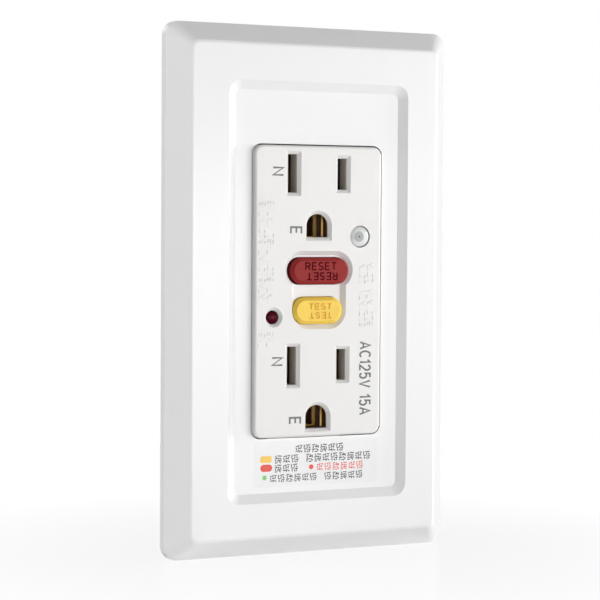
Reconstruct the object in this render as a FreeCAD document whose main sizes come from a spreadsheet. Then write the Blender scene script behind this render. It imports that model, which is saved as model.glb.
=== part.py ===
"""Residual current device socket: a duplex earthed outlet with test and reset buttons,
its wall plate, and the tripping mechanism behind it.

The part's frame: X to the right, Y into the wall, Z up, origin on the wall's surface at the middle
between the two box screws. Depths are given as "out": the distance out of the wall, so that out = -Y.
Positive values are in the room and negative values are inside the wall box. All sizes in millimetres.
"""
import FreeCAD, Part
import math
import os

import Sketcher

Vector = FreeCAD.Vector

# Driving dimensions: name, value, what it is
SIZES = [
    # wall plate
    ("plate_width", 71.6, "wall plate, left to right"),
    ("plate_height", 121.6, "wall plate, bottom to top"),
    ("plate_out", 7.2, "front flat of the wall plate, out of the wall"),
    ("plate_flange", 2.3, "straight rim of the wall plate before its bevel"),
    ("plate_bevel", 4.6, "how far the bevel runs in from the rim"),
    ("plate_wall", 2.0, "wall of the plate moulding"),
    ("plate_corner", 3.2, "corner radius of the plate's rim"),
    ("plate_front_corner", 1.8, "corner radius of the plate's front flat"),
    ("plate_edge_round", 1.1, "rounding between bevel and front flat"),
    ("recess_width", 45.8, "recessed field of the plate, at its outer edge"),
    ("recess_x", 0.6, "recessed field and opening, right of the middle"),
    ("recess_drop", 0.2, "recessed field, below the middle"),
    ("recess_height", 96.2, "recessed field of the plate, at its outer edge"),
    ("recess_slope", 2.1, "width of the sloping step round the field"),
    ("recess_depth", 1.3, "depth of the field below the front flat"),
    ("recess_corner", 3.0, "corner radius at the field's outer edge"),
    ("recess_floor_corner", 1.4, "corner radius of the field's floor"),
    ("leg_rise", 34.0, "height of the snap legs above and below the middle"),
    ("leg_length", 9.0, "length of a snap leg along the plate's side"),
    ("leg_wall", 1.4, "thickness of a snap leg"),
    ("leg_end_out", 0.3, "free end of a snap leg, out of the wall"),
    ("nub_reach", 0.9, "how far a leg's nub reaches under the frame"),
    # inner frame that the plate snaps over
    ("frame_width", 57.0, "snap frame, left to right"),
    ("frame_height", 112.0, "snap frame, bottom to top"),
    ("frame_bar", 6.5, "width of the frame's side bars"),
    ("frame_end_bar", 10.4, "height of the frame's top and bottom bars"),
    ("frame_thickness", 2.0, "thickness of the snap frame"),
    ("frame_foot", 5.0, "side of a square foot under the frame"),
    ("snap_gap", 0.3, "clearance between frame, legs and nubs"),
    ("plate_screw_pitch", 96.8, "distance between the two frame screws"),
    ("box_screw_pitch", 83.3, "distance between the two wall box screws"),
    ("machine_thread", 3.5, "outer diameter of the 6-32 screws"),
    ("plate_screw_length", 8.0, "length of a frame screw"),
    ("box_screw_length", 26.0, "length of a box screw under its head"),
    ("plate_head_diameter", 5.2, "countersunk head of a frame screw"),
    ("neck_radius", 1.45, "neck of a box screw, where its washer holds it"),
    ("neck_depth", 1.0, "end of that neck, into the wall"),
    ("pan_head_diameter", 6.8, "head of a box screw"),
    ("pan_head_height", 2.1, "head of a box screw"),
    ("thread_room", 0.1, "radial room round a screw in its hole"),
    # mounting strap
    ("strap_thickness", 1.2, "steel of the mounting strap"),
    ("strap_width", 31.0, "strap where it passes through the body"),
    ("strap_height", 106.0, "strap, bottom to top"),
    ("ear_width", 25.0, "ear at each end of the strap"),
    ("strap_shoulder", 26.6, "height at which the strap narrows to its ears"),
    ("earth_tab_depth", 10.0, "bent tab of the earth screw, into the wall"),
    ("earth_tab_height", 9.0, "bent tab of the earth screw, up the strap"),
    # face cover
    ("face_width", 32.3, "front face of the socket"),
    ("face_x", 0.18, "front face, right of the middle"),
    ("face_height", 66.7, "front face of the socket"),
    ("face_out", 7.6, "front face, out of the wall"),
    ("face_corner", 2.0, "corner radius of the face"),
    ("face_round", 0.6, "rounding of the face's front edge"),
    ("face_wall", 2.6, "front wall of the face cover"),
    ("face_skin", 1.8, "side wall of the face cover"),
    ("face_gap", 0.35, "gap above and below the face in the wall plate"),
    ("face_side_gap", 0.52, "gap beside the face in the wall plate, on average"),
    ("tab_reach", 0.25, "two tabs that centre the face in that gap"),
    ("earth_skin", 1.1, "front wall round the earth holes"),
    ("cover_flange", 2.2, "thickness of the cover's wide flange"),
    ("chimney_wall", 1.1, "wall of the sleeves behind the slots"),
    ("chimney_out", 1.6, "back end of those sleeves, out of the wall"),
    # outlets
    ("blade_pitch", 12.7, "distance between the two blade slots"),
    ("outlet_pitch", 44.0, "distance between the two outlets"),
    ("outlet_rise", 5.0, "middle of the two blade rows above the face's middle"),
    ("ground_drop", 11.9, "earth hole below the blade row"),
    ("neutral_slot", 8.8, "length of the neutral slot"),
    ("hot_slot", 7.2, "length of the live slot"),
    ("slot_width", 2.3, "width of a blade slot"),
    ("slot_bevel", 0.75, "bevel round every slot and hole"),
    ("ground_hole", 5.4, "width of the earth hole"),
    ("ground_flat", 2.7, "flat of the earth hole below its centre"),
    # buttons and indicators
    ("reset_length", 14.9, "reset button"),
    ("reset_width", 6.05, "reset button"),
    ("reset_rise", 4.7, "reset button above the middle"),
    ("reset_x", 0.55, "reset button, right of the middle"),
    ("reset_out", 7.9, "front of the reset button"),
    ("test_length", 12.6, "test button"),
    ("test_width", 6.15, "test button"),
    ("test_drop", 4.4, "test button below the middle"),
    ("test_out", 8.1, "front of the test button"),
    ("button_gap", 0.17, "gap above and below a button"),
    ("reset_end_gap", 0.45, "gap at each end of the reset button"),
    ("test_end_gap", 0.2, "gap at each end of the test button"),
    ("button_bevel", 0.75, "bevel of a button's front"),
    ("button_flange", 0.75, "thickness of a button's retaining flange"),
    ("flange_reach", 1.2, "reach of a button's retaining flange"),
    ("button_back", 2.3, "back of the buttons, out of the wall"),
    ("well_depth", 1.1, "depth of the well that holds both buttons"),
    ("well_x", 0.25, "well of the buttons, right of the middle"),
    ("well_side", 0.8, "well's edge on the face beyond the reset button's hole"),
    ("well_cheek", 0.44, "well's edge on the face beyond the test button's hole"),
    ("well_head", 1.4, "well's edge on the face above the reset button's hole"),
    ("well_neck", 1.0, "well's upper part below the reset button's hole"),
    ("well_foot", 1.07, "well's edge on the face below the test button's hole"),
    ("well_bevel", 0.97, "slope round the well"),
    ("lamp_bevel", 0.7, "bevel round the fault lamp"),
    ("power_lamp_x", 10.8, "power lamp, right of the middle"),
    ("power_lamp_rise", 12.6, "power lamp, above the middle"),
    ("power_lamp", 4.9, "diameter of the power lamp"),
    ("fault_lamp_x", 11.3, "fault lamp, left of the middle"),
    ("fault_lamp_drop", 5.85, "fault lamp, below the middle"),
    ("fault_lamp", 3.0, "diameter of the fault lamp"),
    ("lamp_gap", 0.1, "gap round a lamp"),
    ("lead_radius", 0.25, "radius of a lamp's lead"),
    ("lead_pitch", 1.4, "distance between a lamp's leads"),
    ("lead_turn_height", 7.2, "height at which the power lamp's leads turn back"),
    # body behind the strap
    ("body_width", 43.0, "cover flange and rear housing"),
    ("body_height", 69.0, "cover flange and rear housing"),
    ("body_depth", 27.0, "rear housing, into the wall"),
    ("body_corner", 3.0, "corner radius of the housing"),
    ("body_edge", 1.5, "bevel round the housing's back"),
    ("body_wall", 2.0, "wall of the rear housing"),
    ("inner_gap", 0.3, "clearance of inner mouldings in the housing"),
    ("body_screw_x", 17.2, "housing screws, left and right of the middle"),
    ("body_screw_rise", 30.2, "housing screws, above and below the middle"),
    ("body_screw_thread", 2.5, "diameter of a housing screw"),
    ("body_screw_head", 4.6, "head of a housing screw"),
    ("body_screw_sink", 2.4, "how deep a housing screw's head is sunk"),
    ("boss_radius", 3.0, "boss round a housing screw"),
    ("standoff_radius", 1.8, "posts under the circuit board"),
    # terminal bays
    ("bay_rise", 17.0, "terminal bays above and below the middle"),
    ("bay_height", 14.0, "opening of a terminal bay, up the housing"),
    ("bay_depth", 13.0, "opening of a terminal bay, into the wall"),
    ("bay_start", 1.5, "first edge of a bay behind the wall's surface"),
    ("bay_inner", 11.1, "inner side of a bay, from the middle"),
    ("bay_wall", 1.0, "walls of a bay inside the housing"),
    ("terminal_x", 15.2, "outer face of the terminal plates, from the middle"),
    ("terminal_sheet", 0.8, "brass of the terminals and buses"),
    ("terminal_width", 9.0, "terminal plate, up the housing"),
    ("terminal_depth", 6.2, "terminal screws, into the wall"),
    ("terminal_head", 7.0, "head of a terminal screw"),
    ("terminal_head_height", 2.2, "head of a terminal screw"),
    ("wire_gap", 2.2, "room for the conductors under a clamp"),
    ("clamp_sheet", 1.5, "thickness of a clamp plate"),
    ("wire_entry_width", 4.8, "wire entry in the housing's back"),
    ("wire_entry_length", 9.4, "wire entry in the housing's back"),
    # contact tray, buses and clips
    ("tray_width", 19.8, "contact tray, left to right"),
    ("tray_height", 64.4, "contact tray, bottom to top"),
    ("tray_depth", 9.5, "contact tray, from the strap into the wall"),
    ("tray_skin", 1.0, "front wall of the tray over the clips"),
    ("bus_width", 3.4, "strip of a bus"),
    ("clip_sheet", 0.5, "spring brass of a clip's leaf"),
    ("clip_belly", 1.5, "half width of a clip at its root"),
    ("clip_mouth", 1.9, "half opening of a clip at its mouth"),
    ("clip_pinch", 0.65, "half opening of a clip where it grips"),
    ("clip_length", 9.0, "length of a clip along its slot"),
    ("ground_pinch", 2.1, "half opening of an earth clip where it grips"),
    ("ground_mouth", 3.0, "half opening of an earth clip at its mouth"),
    ("ground_clip_length", 5.0, "length of an earth clip up the socket"),
    ("ground_clip_depth", 8.4, "depth of an earth clip into the wall"),
    ("contact_radius", 1.5, "silver contact"),
    ("contact_height", 0.6, "height of each silver contact"),
    ("contact_gap", 0.02, "room between contacts, arms and lifter when closed"),
    ("contact_rise", 4.0, "contacts above the middle"),
    ("arm_sheet", 0.4, "spring bronze of a contact arm"),
    ("arm_x", 7.0, "arms and contacts, from the middle"),
    ("arm_root_drop", 14.0, "bend line of an arm below the middle"),
    ("arm_tip_rise", 6.3, "free end of an arm above the middle"),
    # mechanism
    ("trip_travel", 1.8, "how far the reset button pops out"),
    ("lifter_travel", 1.6, "how far the lifter drops"),
    ("latch_travel", 1.2, "stroke of plunger and latch"),
    ("pin_radius", 1.3, "reset pin"),
    ("pin_end", 17.0, "end of the reset pin, into the wall"),
    ("pin_neck", 0.9, "radius of the reset pin's neck"),
    ("lifter_width", 16.6, "lifter, left to right"),
    ("lifter_height", 5.8, "lifter, bottom to top"),
    ("lifter_depth", 3.5, "lifter, into the wall"),
    ("rail_wall", 1.2, "guide rails of the tray and the lifter"),
    ("slide_gap", 0.12, "clearance of sliding parts"),
    ("latch_sheet", 0.7, "steel of the latch plate"),
    ("latch_width", 5.0, "latch plate"),
    ("latch_top", 11.0, "upper end of the latch plate above the middle"),
    ("latch_bottom", 0.6, "lower end of the latch plate above the middle"),
    ("fine_wire", 0.22, "wire radius of the two smaller springs"),
    ("spring_wire", 0.28, "wire radius of the reset spring"),
    ("spring_radius", 2.5, "coil radius of the reset spring"),
    ("spring_turns", 5.0, "turns of the reset spring"),
    ("spring_seat", 5.0, "spring seat in the tray, into the wall"),
    ("test_leaf_sheet", 0.4, "brass of the test contact"),
    ("test_leg_x", 4.2, "leg of the test contact, right of the middle"),
    ("test_contact_depth", 3.5, "test contact, into the wall"),
    ("test_seat", 2.2, "seat of the test spring, into the wall"),
    ("test_spring_radius", 1.9, "coil radius of the test spring"),
    ("test_spring_turns", 4.0, "turns of the test spring"),
    ("test_stem", 1.1, "stem radius of the test button"),
    ("test_stem_end", 1.9, "end of the stem, into the wall"),
    # circuit board and what stands on it
    ("board_depth", 19.9, "front of the circuit board, into the wall"),
    ("board_thickness", 1.6, "circuit board"),
    ("coil_depth", 14.9, "axis of the solenoid, into the wall"),
    ("coil_start", 14.0, "lower flange of the bobbin above the middle"),
    ("coil_length", 12.0, "bobbin, flange to flange"),
    ("coil_radius", 3.9, "outside of the winding"),
    ("bobbin_flange", 4.2, "flange of the bobbin"),
    ("bobbin_sheet", 1.0, "flanges of the bobbin"),
    ("bobbin_core", 2.7, "core of the bobbin"),
    ("plunger_radius", 1.9, "plunger"),
    ("plunger_reach", 0.05, "gap between plunger and latch"),
    ("bracket_sheet", 0.7, "steel bracket of the solenoid"),
    ("return_spring_length", 2.8, "spring that returns the plunger"),
    ("return_spring_radius", 2.7, "coil radius of that spring"),
    ("return_spring_turns", 3.0, "turns of that spring"),
    ("core_outer", 7.7, "outside of the transformer cores"),
    ("core_inner", 4.5, "inside of the transformer cores"),
    ("core_height", 2.8, "height of each core"),
    ("case_wall", 0.8, "wall of the transformer case"),
    ("case_height", 7.4, "transformer case"),
    ("post_width", 1.8, "conductor post through the transformer"),
    ("post_height", 2.6, "conductor post through the transformer"),
    ("post_gap", 1.1, "inner side of a post, from the middle"),
    ("varistor_radius", 4.2, "varistor disc"),
    ("varistor_thickness", 3.2, "varistor disc"),
    ("capacitor_radius", 2.9, "electrolytic capacitor"),
    ("capacitor_height", 8.4, "electrolytic capacitor"),
    ("film_capacitor_side", 6.4, "film capacitor"),
    ("resistor_radius", 0.8, "resistors and diodes"),
    ("resistor_length", 5.4, "resistors and diodes"),
    ("resistor_pitch", 1.9, "spacing of the resistors"),
]

document = FreeCAD.newDocument("residual_current_socket")
sheet = document.addObject("Spreadsheet::Sheet", "Sheet")
for row, (alias, value, meaning) in enumerate(SIZES, start=1):
    sheet.set(f"A{row}", meaning)
    sheet.set(f"B{row}", str(value))
    sheet.setAlias(f"B{row}", alias)
document.recompute()


class Size:
    """A length worked out from the sheet, kept both as an expression and as a number."""

    def __init__(self, text, value):
        self.text, self.value = text, float(value)

    def __add__(self, other):
        return Size(f"({self.text} + {text_of(other)})", self.value + number(other))

    __radd__ = __add__

    def __sub__(self, other):
        return Size(f"({self.text} - {text_of(other)})", self.value - number(other))

    def __rsub__(self, other):
        return Size(f"({text_of(other)} - {self.text})", number(other) - self.value)

    def __mul__(self, other):
        return Size(f"({self.text} * {text_of(other)})", self.value * number(other))

    __rmul__ = __mul__

    def __truediv__(self, other):
        return Size(f"({self.text} / {text_of(other)})", self.value / number(other))

    def __neg__(self):
        return Size(f"(-1 * {self.text})", -self.value)


class Sheet:
    """The sheet's cells by name, such as s.plate_width."""

    def __getattr__(self, alias):
        return Size(f"Sheet.{alias}", sheet.get(alias))


def number(size):
    return size.value if isinstance(size, Size) else float(size)


def text_of(size):
    return size.text if isinstance(size, Size) else repr(float(size))


def bind(thing, prop, size):
    """Ties a property to the sheet, or sets it where the size is a plain number."""
    thing.setExpression(prop, text_of(size))


s = Sheet()
parts = []


def keep(thing, label):
    """Marks an object as a finished sub-part under its own name."""
    thing.Label = label
    parts.append(thing)
    return thing


# Sketches and PartDesign features
def new_body(label):
    body = document.addObject("PartDesign::Body", label)
    return keep(body, label)


def sketch(body, offset=0, plane="XZ_Plane"):
    """A sketch on one of the body's own planes. On XZ_Plane the offset is "out", u is X and v is Z.
    On XY_Plane the offset is Z, u is X and v is Y. On YZ_Plane the offset is X, u is Y and v is Z."""
    made = body.newObject("Sketcher::SketchObject", "outline")
    support = next(p for p in body.Origin.OriginFeatures if p.Role == plane)
    made.AttachmentSupport = [(support, "")]
    made.MapMode = "FlatFace"
    bind(made, "AttachmentOffset.Base.z", offset)
    return made


def constrain(sk, *words):
    """Adds a constraint; a size at its end stays tied to the sheet."""
    size = words[-1]
    if isinstance(size, (Size, float)):
        index = sk.addConstraint(Sketcher.Constraint(*words[:-1], number(size)))
        if isinstance(size, Size):
            sk.setExpression(f"Constraints[{index}]", size.text)
    else:
        sk.addConstraint(Sketcher.Constraint(*words))


def fix_u(sk, geometry, point, u):
    constrain(sk, "DistanceX", -1, 1, geometry, point, u if isinstance(u, Size) else float(u))


def fix_v(sk, geometry, point, v):
    constrain(sk, "DistanceY", -1, 1, geometry, point, v if isinstance(v, Size) else float(v))


def flat_point(u, v):
    return Vector(number(u), number(v), 0)


def arc(centre, radius, start, end):
    circle_ = Part.Circle(centre, Vector(0, 0, 1), radius)
    return Part.ArcOfCircle(circle_, math.radians(start), math.radians(end))


def polygon(sk, points):
    """A closed outline through points (u, v), each fixed to its sizes."""
    ends = [flat_point(u, v) for u, v in points]
    count = len(points)
    first = sk.GeometryCount
    for i in range(count):
        sk.addGeometry(Part.LineSegment(ends[i], ends[(i + 1) % count]), False)
    for i, (u, v) in enumerate(points):
        constrain(sk, "Coincident", first + i, 1, first + (i - 1) % count, 2)
        fix_u(sk, first + i, 1, u)
        fix_v(sk, first + i, 1, v)


def outline(sk, corners):
    """A closed outline of runs along u and v. Each corner is (u, v, radius), where radius 0 is sharp."""
    turn = sum(
        number(a[0]) * number(b[1]) - number(b[0]) * number(a[1])
        for a, b in zip(corners, corners[1:] + corners[:1])
    )
    if turn < 0:
        corners = corners[::-1]
    count = len(corners)
    points = [flat_point(c[0], c[1]) for c in corners]
    radii = [number(c[2]) for c in corners]
    along = [(points[(i + 1) % count] - points[i]).normalize() for i in range(count)]
    lines, arcs = [], {}
    for i in range(count):
        after = (i + 1) % count
        start = points[i] + along[i] * radii[i]
        end = points[after] - along[i] * radii[after]
        lines.append(sk.addGeometry(Part.LineSegment(start, end), False))
    for i in range(count):
        if radii[i] > 0:
            before, ahead = along[i - 1], along[i]
            centre = points[i] + (ahead - before) * radii[i]
            heading = math.degrees(math.atan2(before.y, before.x))
            outward = before.x * ahead.y - before.y * ahead.x > 0
            begin = heading - 90 if outward else heading
            arcs[i] = (sk.addGeometry(arc(centre, radii[i], begin, begin + 90), False), outward)
    for i in range(count):
        level = abs(along[i].x) > 0.5
        constrain(sk, "Horizontal" if level else "Vertical", lines[i])
        if level:
            fix_v(sk, lines[i], 1, corners[i][1])
        else:
            fix_u(sk, lines[i], 1, corners[i][0])
        if i in arcs:
            made, outward = arcs[i]
            first, last = (1, 2) if outward else (2, 1)
            constrain(sk, "Tangent", lines[i - 1], 2, made, first)
            constrain(sk, "Tangent", lines[i], 1, made, last)
            constrain(sk, "Radius", made, corners[i][2])
        else:
            constrain(sk, "Coincident", lines[i - 1], 2, lines[i], 1)


def rectangle(sk, width, height, radius=0, u=0, v=0):
    """A rectangle round (u, v), with rounded corners where radius is given."""
    left, right = u - width / 2, u + width / 2
    low, high = v - height / 2, v + height / 2
    corner_list = [(left, low), (right, low), (right, high), (left, high)]
    outline(sk, [(a, b, radius) for a, b in corner_list])


def circle(sk, u, v, radius):
    made = sk.addGeometry(Part.Circle(flat_point(u, v), Vector(0, 0, 1), number(radius)), False)
    fix_u(sk, made, 3, u)
    fix_v(sk, made, 3, v)
    constrain(sk, "Radius", made, radius)


def stadium(sk, u, v, length, width, upright=False):
    """A slot with round ends, along u, or along v where it is upright."""
    radius, reach = width / 2, (length - width) / 2
    spin = 90 if upright else 0
    rise, run = (reach, 0) if upright else (0, reach)
    ends = [(u + run, v + rise), (u - run, v - rise)]
    rounds = []
    for k, (a, b) in enumerate(ends):
        start = spin - 90 + 180 * k
        rounds.append(sk.addGeometry(arc(flat_point(a, b), number(radius), start, start + 180), False))
        fix_u(sk, rounds[-1], 3, a)
        fix_v(sk, rounds[-1], 3, b)
        constrain(sk, "Radius", rounds[-1], radius)
    first, second = (sk.Geometry[r] for r in rounds)
    side = sk.addGeometry(Part.LineSegment(first.EndPoint, second.StartPoint), False)
    other = sk.addGeometry(Part.LineSegment(second.EndPoint, first.StartPoint), False)
    constrain(sk, "Tangent", rounds[0], 2, side, 1)
    constrain(sk, "Tangent", side, 2, rounds[1], 1)
    constrain(sk, "Tangent", rounds[1], 2, other, 1)
    constrain(sk, "Tangent", other, 2, rounds[0], 1)


def dome(sk, u, v, width, drop):
    """A hole that is round above (u, v) and flat at drop below it, as an earth pin's is."""
    radius = width / 2
    top = sk.addGeometry(arc(flat_point(u, v), number(radius), 0, 180), False)
    left, right, low = u - radius, u + radius, v - drop
    side = sk.addGeometry(Part.LineSegment(flat_point(left, v), flat_point(left, low)), False)
    base = sk.addGeometry(Part.LineSegment(flat_point(left, low), flat_point(right, low)), False)
    other = sk.addGeometry(Part.LineSegment(flat_point(right, low), flat_point(right, v)), False)
    fix_u(sk, top, 3, u)
    fix_v(sk, top, 3, v)
    constrain(sk, "Radius", top, radius)
    constrain(sk, "Tangent", top, 2, side, 1)
    constrain(sk, "Tangent", other, 2, top, 1)
    constrain(sk, "Coincident", side, 2, base, 1)
    constrain(sk, "Coincident", base, 2, other, 1)
    constrain(sk, "Vertical", side)
    constrain(sk, "Vertical", other)
    constrain(sk, "Horizontal", base)
    fix_v(sk, base, 1, low)


def pad(body, sk, length, backward=False):
    """Adds material out of the sketch's plane, along its normal unless backward."""
    made = body.newObject("PartDesign::Pad", "pad")
    made.Profile = sk
    made.Reversed = backward
    bind(made, "Length", length)
    document.recompute()
    return made


def pocket(body, sk, length=None, forward=False):
    """Cuts against the sketch's normal, or along it where forward; through everything with no length."""
    before = body.Shape.Volume
    made = body.newObject("PartDesign::Pocket", "pocket")
    made.Profile = sk
    made.Reversed = forward
    if length is None:
        made.Type = "ThroughAll"
    else:
        bind(made, "Length", length)
    document.recompute()
    if body.Shape.Volume >= before:
        raise ValueError(f"a pocket of {body.Label} cuts nothing")
    return made


def loft(body, sections, subtractive=False):
    """A ruled loft from the first section to the last."""
    kind = "PartDesign::SubtractiveLoft" if subtractive else "PartDesign::AdditiveLoft"
    made = body.newObject(kind, "loft")
    made.Profile = sections[0]
    made.Sections = sections[1:]
    made.Ruled = True
    document.recompute()
    return made


def edges(body, wanted):
    """Names of the edges of the body's present shape for which wanted(edge) is true."""
    shape = body.Tip.Shape
    return [f"Edge{i}" for i, edge in enumerate(shape.Edges, start=1) if wanted(edge)]


def at_out(edge, out):
    """True where the whole edge lies at that distance out of the wall."""
    box = edge.BoundBox
    return abs(box.YMin + number(out)) < 1e-4 and abs(box.YMax + number(out)) < 1e-4


def round_edge(edge):
    return edge.Curve.TypeId == "Part::GeomCircle"


def inside(edge, x_low, x_high, z_low, z_high):
    """True where the edge lies within that window, seen from the front."""
    box = edge.BoundBox
    return (
        box.XMin > number(x_low)
        and box.XMax < number(x_high)
        and box.ZMin > number(z_low)
        and box.ZMax < number(z_high)
    )


def dress(body, kind, names, size):
    """Chamfers or fillets the named edges of the body's last feature."""
    base = body.Tip
    made = body.newObject(f"PartDesign::{kind}", kind.lower())
    made.Base = (base, names)
    bind(made, "Size" if kind == "Chamfer" else "Radius", size)
    document.recompute()
    if not names or "Invalid" in made.State:
        raise ValueError(f"a {kind.lower()} of {body.Label} can't be made")
    return made


def turned(body, points, x, z):
    """A solid of revolution round the line out of the wall through (x, z); points are (radius, out)."""
    sk = sketch(body, z, "XY_Plane")
    polygon(sk, [(x + radius, -out) for radius, out in points])
    axis = sk.addGeometry(Part.LineSegment(flat_point(x, -1), flat_point(x, 1)), True)
    fix_u(sk, axis, 1, x)
    fix_v(sk, axis, 1, -1)
    fix_u(sk, axis, 2, x)
    fix_v(sk, axis, 2, 1)
    made = body.newObject("PartDesign::Revolution", "turned")
    made.Profile = sk
    made.ReferenceAxis = (sk, ["Axis0"])
    made.Angle = 360
    document.recompute()
    return made


def turned_upright(body, points, out):
    """A solid of revolution round the upright line at x = 0 and that out; points are (radius, z)."""
    sk = sketch(body, 0, "YZ_Plane")
    polygon(sk, [(radius - out, z) for radius, z in points])
    axis = sk.addGeometry(Part.LineSegment(flat_point(-out, -1), flat_point(-out, 1)), True)
    fix_u(sk, axis, 1, -out)
    fix_v(sk, axis, 1, -1)
    fix_u(sk, axis, 2, -out)
    fix_v(sk, axis, 2, 1)
    made = body.newObject("PartDesign::Revolution", "turned")
    made.Profile = sk
    made.ReferenceAxis = (sk, ["Axis0"])
    made.Angle = 360
    document.recompute()
    return made


# Primitives and what is made of them
FACING = {
    "out": FreeCAD.Rotation(Vector(1, 0, 0), 90),
    "up": FreeCAD.Rotation(),
    "right": FreeCAD.Rotation(Vector(0, 1, 0), 90),
}


def place(thing, x, out, z, facing="up"):
    thing.Placement = FreeCAD.Placement(Vector(0, 0, 0), FACING[facing])
    bind(thing, "Placement.Base.x", x)
    bind(thing, "Placement.Base.y", -1 * out)
    bind(thing, "Placement.Base.z", z)
    return thing


def block(x_low, x_high, back, front, z_low, z_high):
    """A box between two values of x, of out and of z."""
    made = document.addObject("Part::Box", "block")
    bind(made, "Length", x_high - x_low)
    bind(made, "Width", front - back)
    bind(made, "Height", z_high - z_low)
    return place(made, x_low, front, z_low)


def rod(x, out, z, radius, length, facing):
    """A cylinder that starts at that point and runs out of the wall, up, or to the right."""
    made = document.addObject("Part::Cylinder", "rod")
    bind(made, "Radius", radius)
    bind(made, "Height", length)
    return place(made, x, out, z, facing)


def taper(x, out, z, first_radius, last_radius, length, facing):
    """A cone that starts at that point with its first radius."""
    made = document.addObject("Part::Cone", "taper")
    bind(made, "Radius1", first_radius)
    bind(made, "Radius2", last_radius)
    bind(made, "Height", length)
    return place(made, x, out, z, facing)


def joined(*things):
    made = document.addObject("Part::MultiFuse", "joined")
    made.Shapes = list(things)
    return made


def cut(base, *tools):
    made = document.addObject("Part::Cut", "cut")
    made.Base = base
    made.Tool = tools[0] if len(tools) == 1 else joined(*tools)
    return made


def group(*things):
    """Separate solids that share one sub-part."""
    made = document.addObject("Part::Compound", "group")
    made.Links = list(things)
    return made


def coil(x, out, z, radius, wire, turns, length, facing):
    """A spring as one unbroken wire, its round section drawn with twelve sides."""
    line = document.addObject("Part::Helix", "coil_line")
    bind(line, "Radius", radius)
    bind(line, "Height", length)
    bind(line, "Pitch", length / turns)
    place(line, x, out, z, facing)
    ring = document.addObject("Part::RegularPolygon", "coil_wire")
    ring.Polygon = 12
    bind(ring, "Circumradius", wire)
    along = Vector(0, -1, 0) if facing == "up" else Vector(0, 0, 1)
    ring.Placement = FreeCAD.Placement(Vector(0, 0, 0), FreeCAD.Rotation(Vector(0, 0, 1), along))
    bind(ring, "Placement.Base.x", x + radius)
    bind(ring, "Placement.Base.y", -1 * out)
    bind(ring, "Placement.Base.z", z)
    sweep = document.addObject("Part::Sweep", "coil")
    sweep.Sections = [ring]
    sweep.Spine = (line, ["Edge1"])
    sweep.Solid = True
    sweep.Frenet = True
    return sweep


# Heights and levels shared by several sub-parts
UPPER_BLADES = s.outlet_rise + s.outlet_pitch / 2
LOWER_BLADES = s.outlet_rise - s.outlet_pitch / 2
BLADE_ROWS = (UPPER_BLADES, LOWER_BLADES)
EARTH_ROWS = (UPPER_BLADES - s.ground_drop, LOWER_BLADES - s.ground_drop)
BLADE_X = s.blade_pitch / 2
SIDES = (-1, 1)
STRAP_FRONT = s.strap_thickness
FACE_BACK = s.face_out - s.face_wall
SCREW_HOLE = s.machine_thread / 2 + s.thread_room
TRAY_BACK = -1 * s.tray_depth
BOARD_FRONT = -1 * s.board_depth
BOARD_BACK = BOARD_FRONT - s.board_thickness
POWER_LEADS_X = s.power_lamp_x + 0.5
POST_END = BOARD_BACK - 0.4
CONTACT_PLANE = TRAY_BACK + s.contact_height - 0.1
ARM_FRONT = CONTACT_PLANE - 2 * s.contact_height - s.contact_gap
LIFTER_FRONT = ARM_FRONT - s.arm_sheet - s.contact_gap
LATCH_FRONT = LIFTER_FRONT - s.lifter_depth - 0.05
VARISTOR_X = -1 * (s.body_width / 2 - s.body_wall - s.inner_gap - s.varistor_thickness - 0.8)
VARISTOR_Z = -3.6
RESISTOR_LEGS = (12.1, 18.5)
RESISTOR_Z = 1.2


def snap_leg(body, side, z):
    """One snap leg of the wall plate, with its nub under the frame's edge."""
    inner = s.frame_width / 2 + s.snap_gap
    nub = inner - s.snap_gap - s.nub_reach
    root = s.plate_out - s.plate_wall + 0.2
    nub_top = s.strap_thickness - s.snap_gap
    profile = [
        (inner, root),
        (inner + s.leg_wall, root),
        (inner + s.leg_wall, s.leg_end_out),
        (inner, s.leg_end_out),
        (nub, nub_top - 0.2),
        (nub, nub_top),
        (inner, nub_top),
    ]
    sk = sketch(body, z - s.leg_length / 2, "XY_Plane")
    polygon(sk, [(u * side, -out) for u, out in profile])
    pad(body, sk, s.leg_length)


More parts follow.
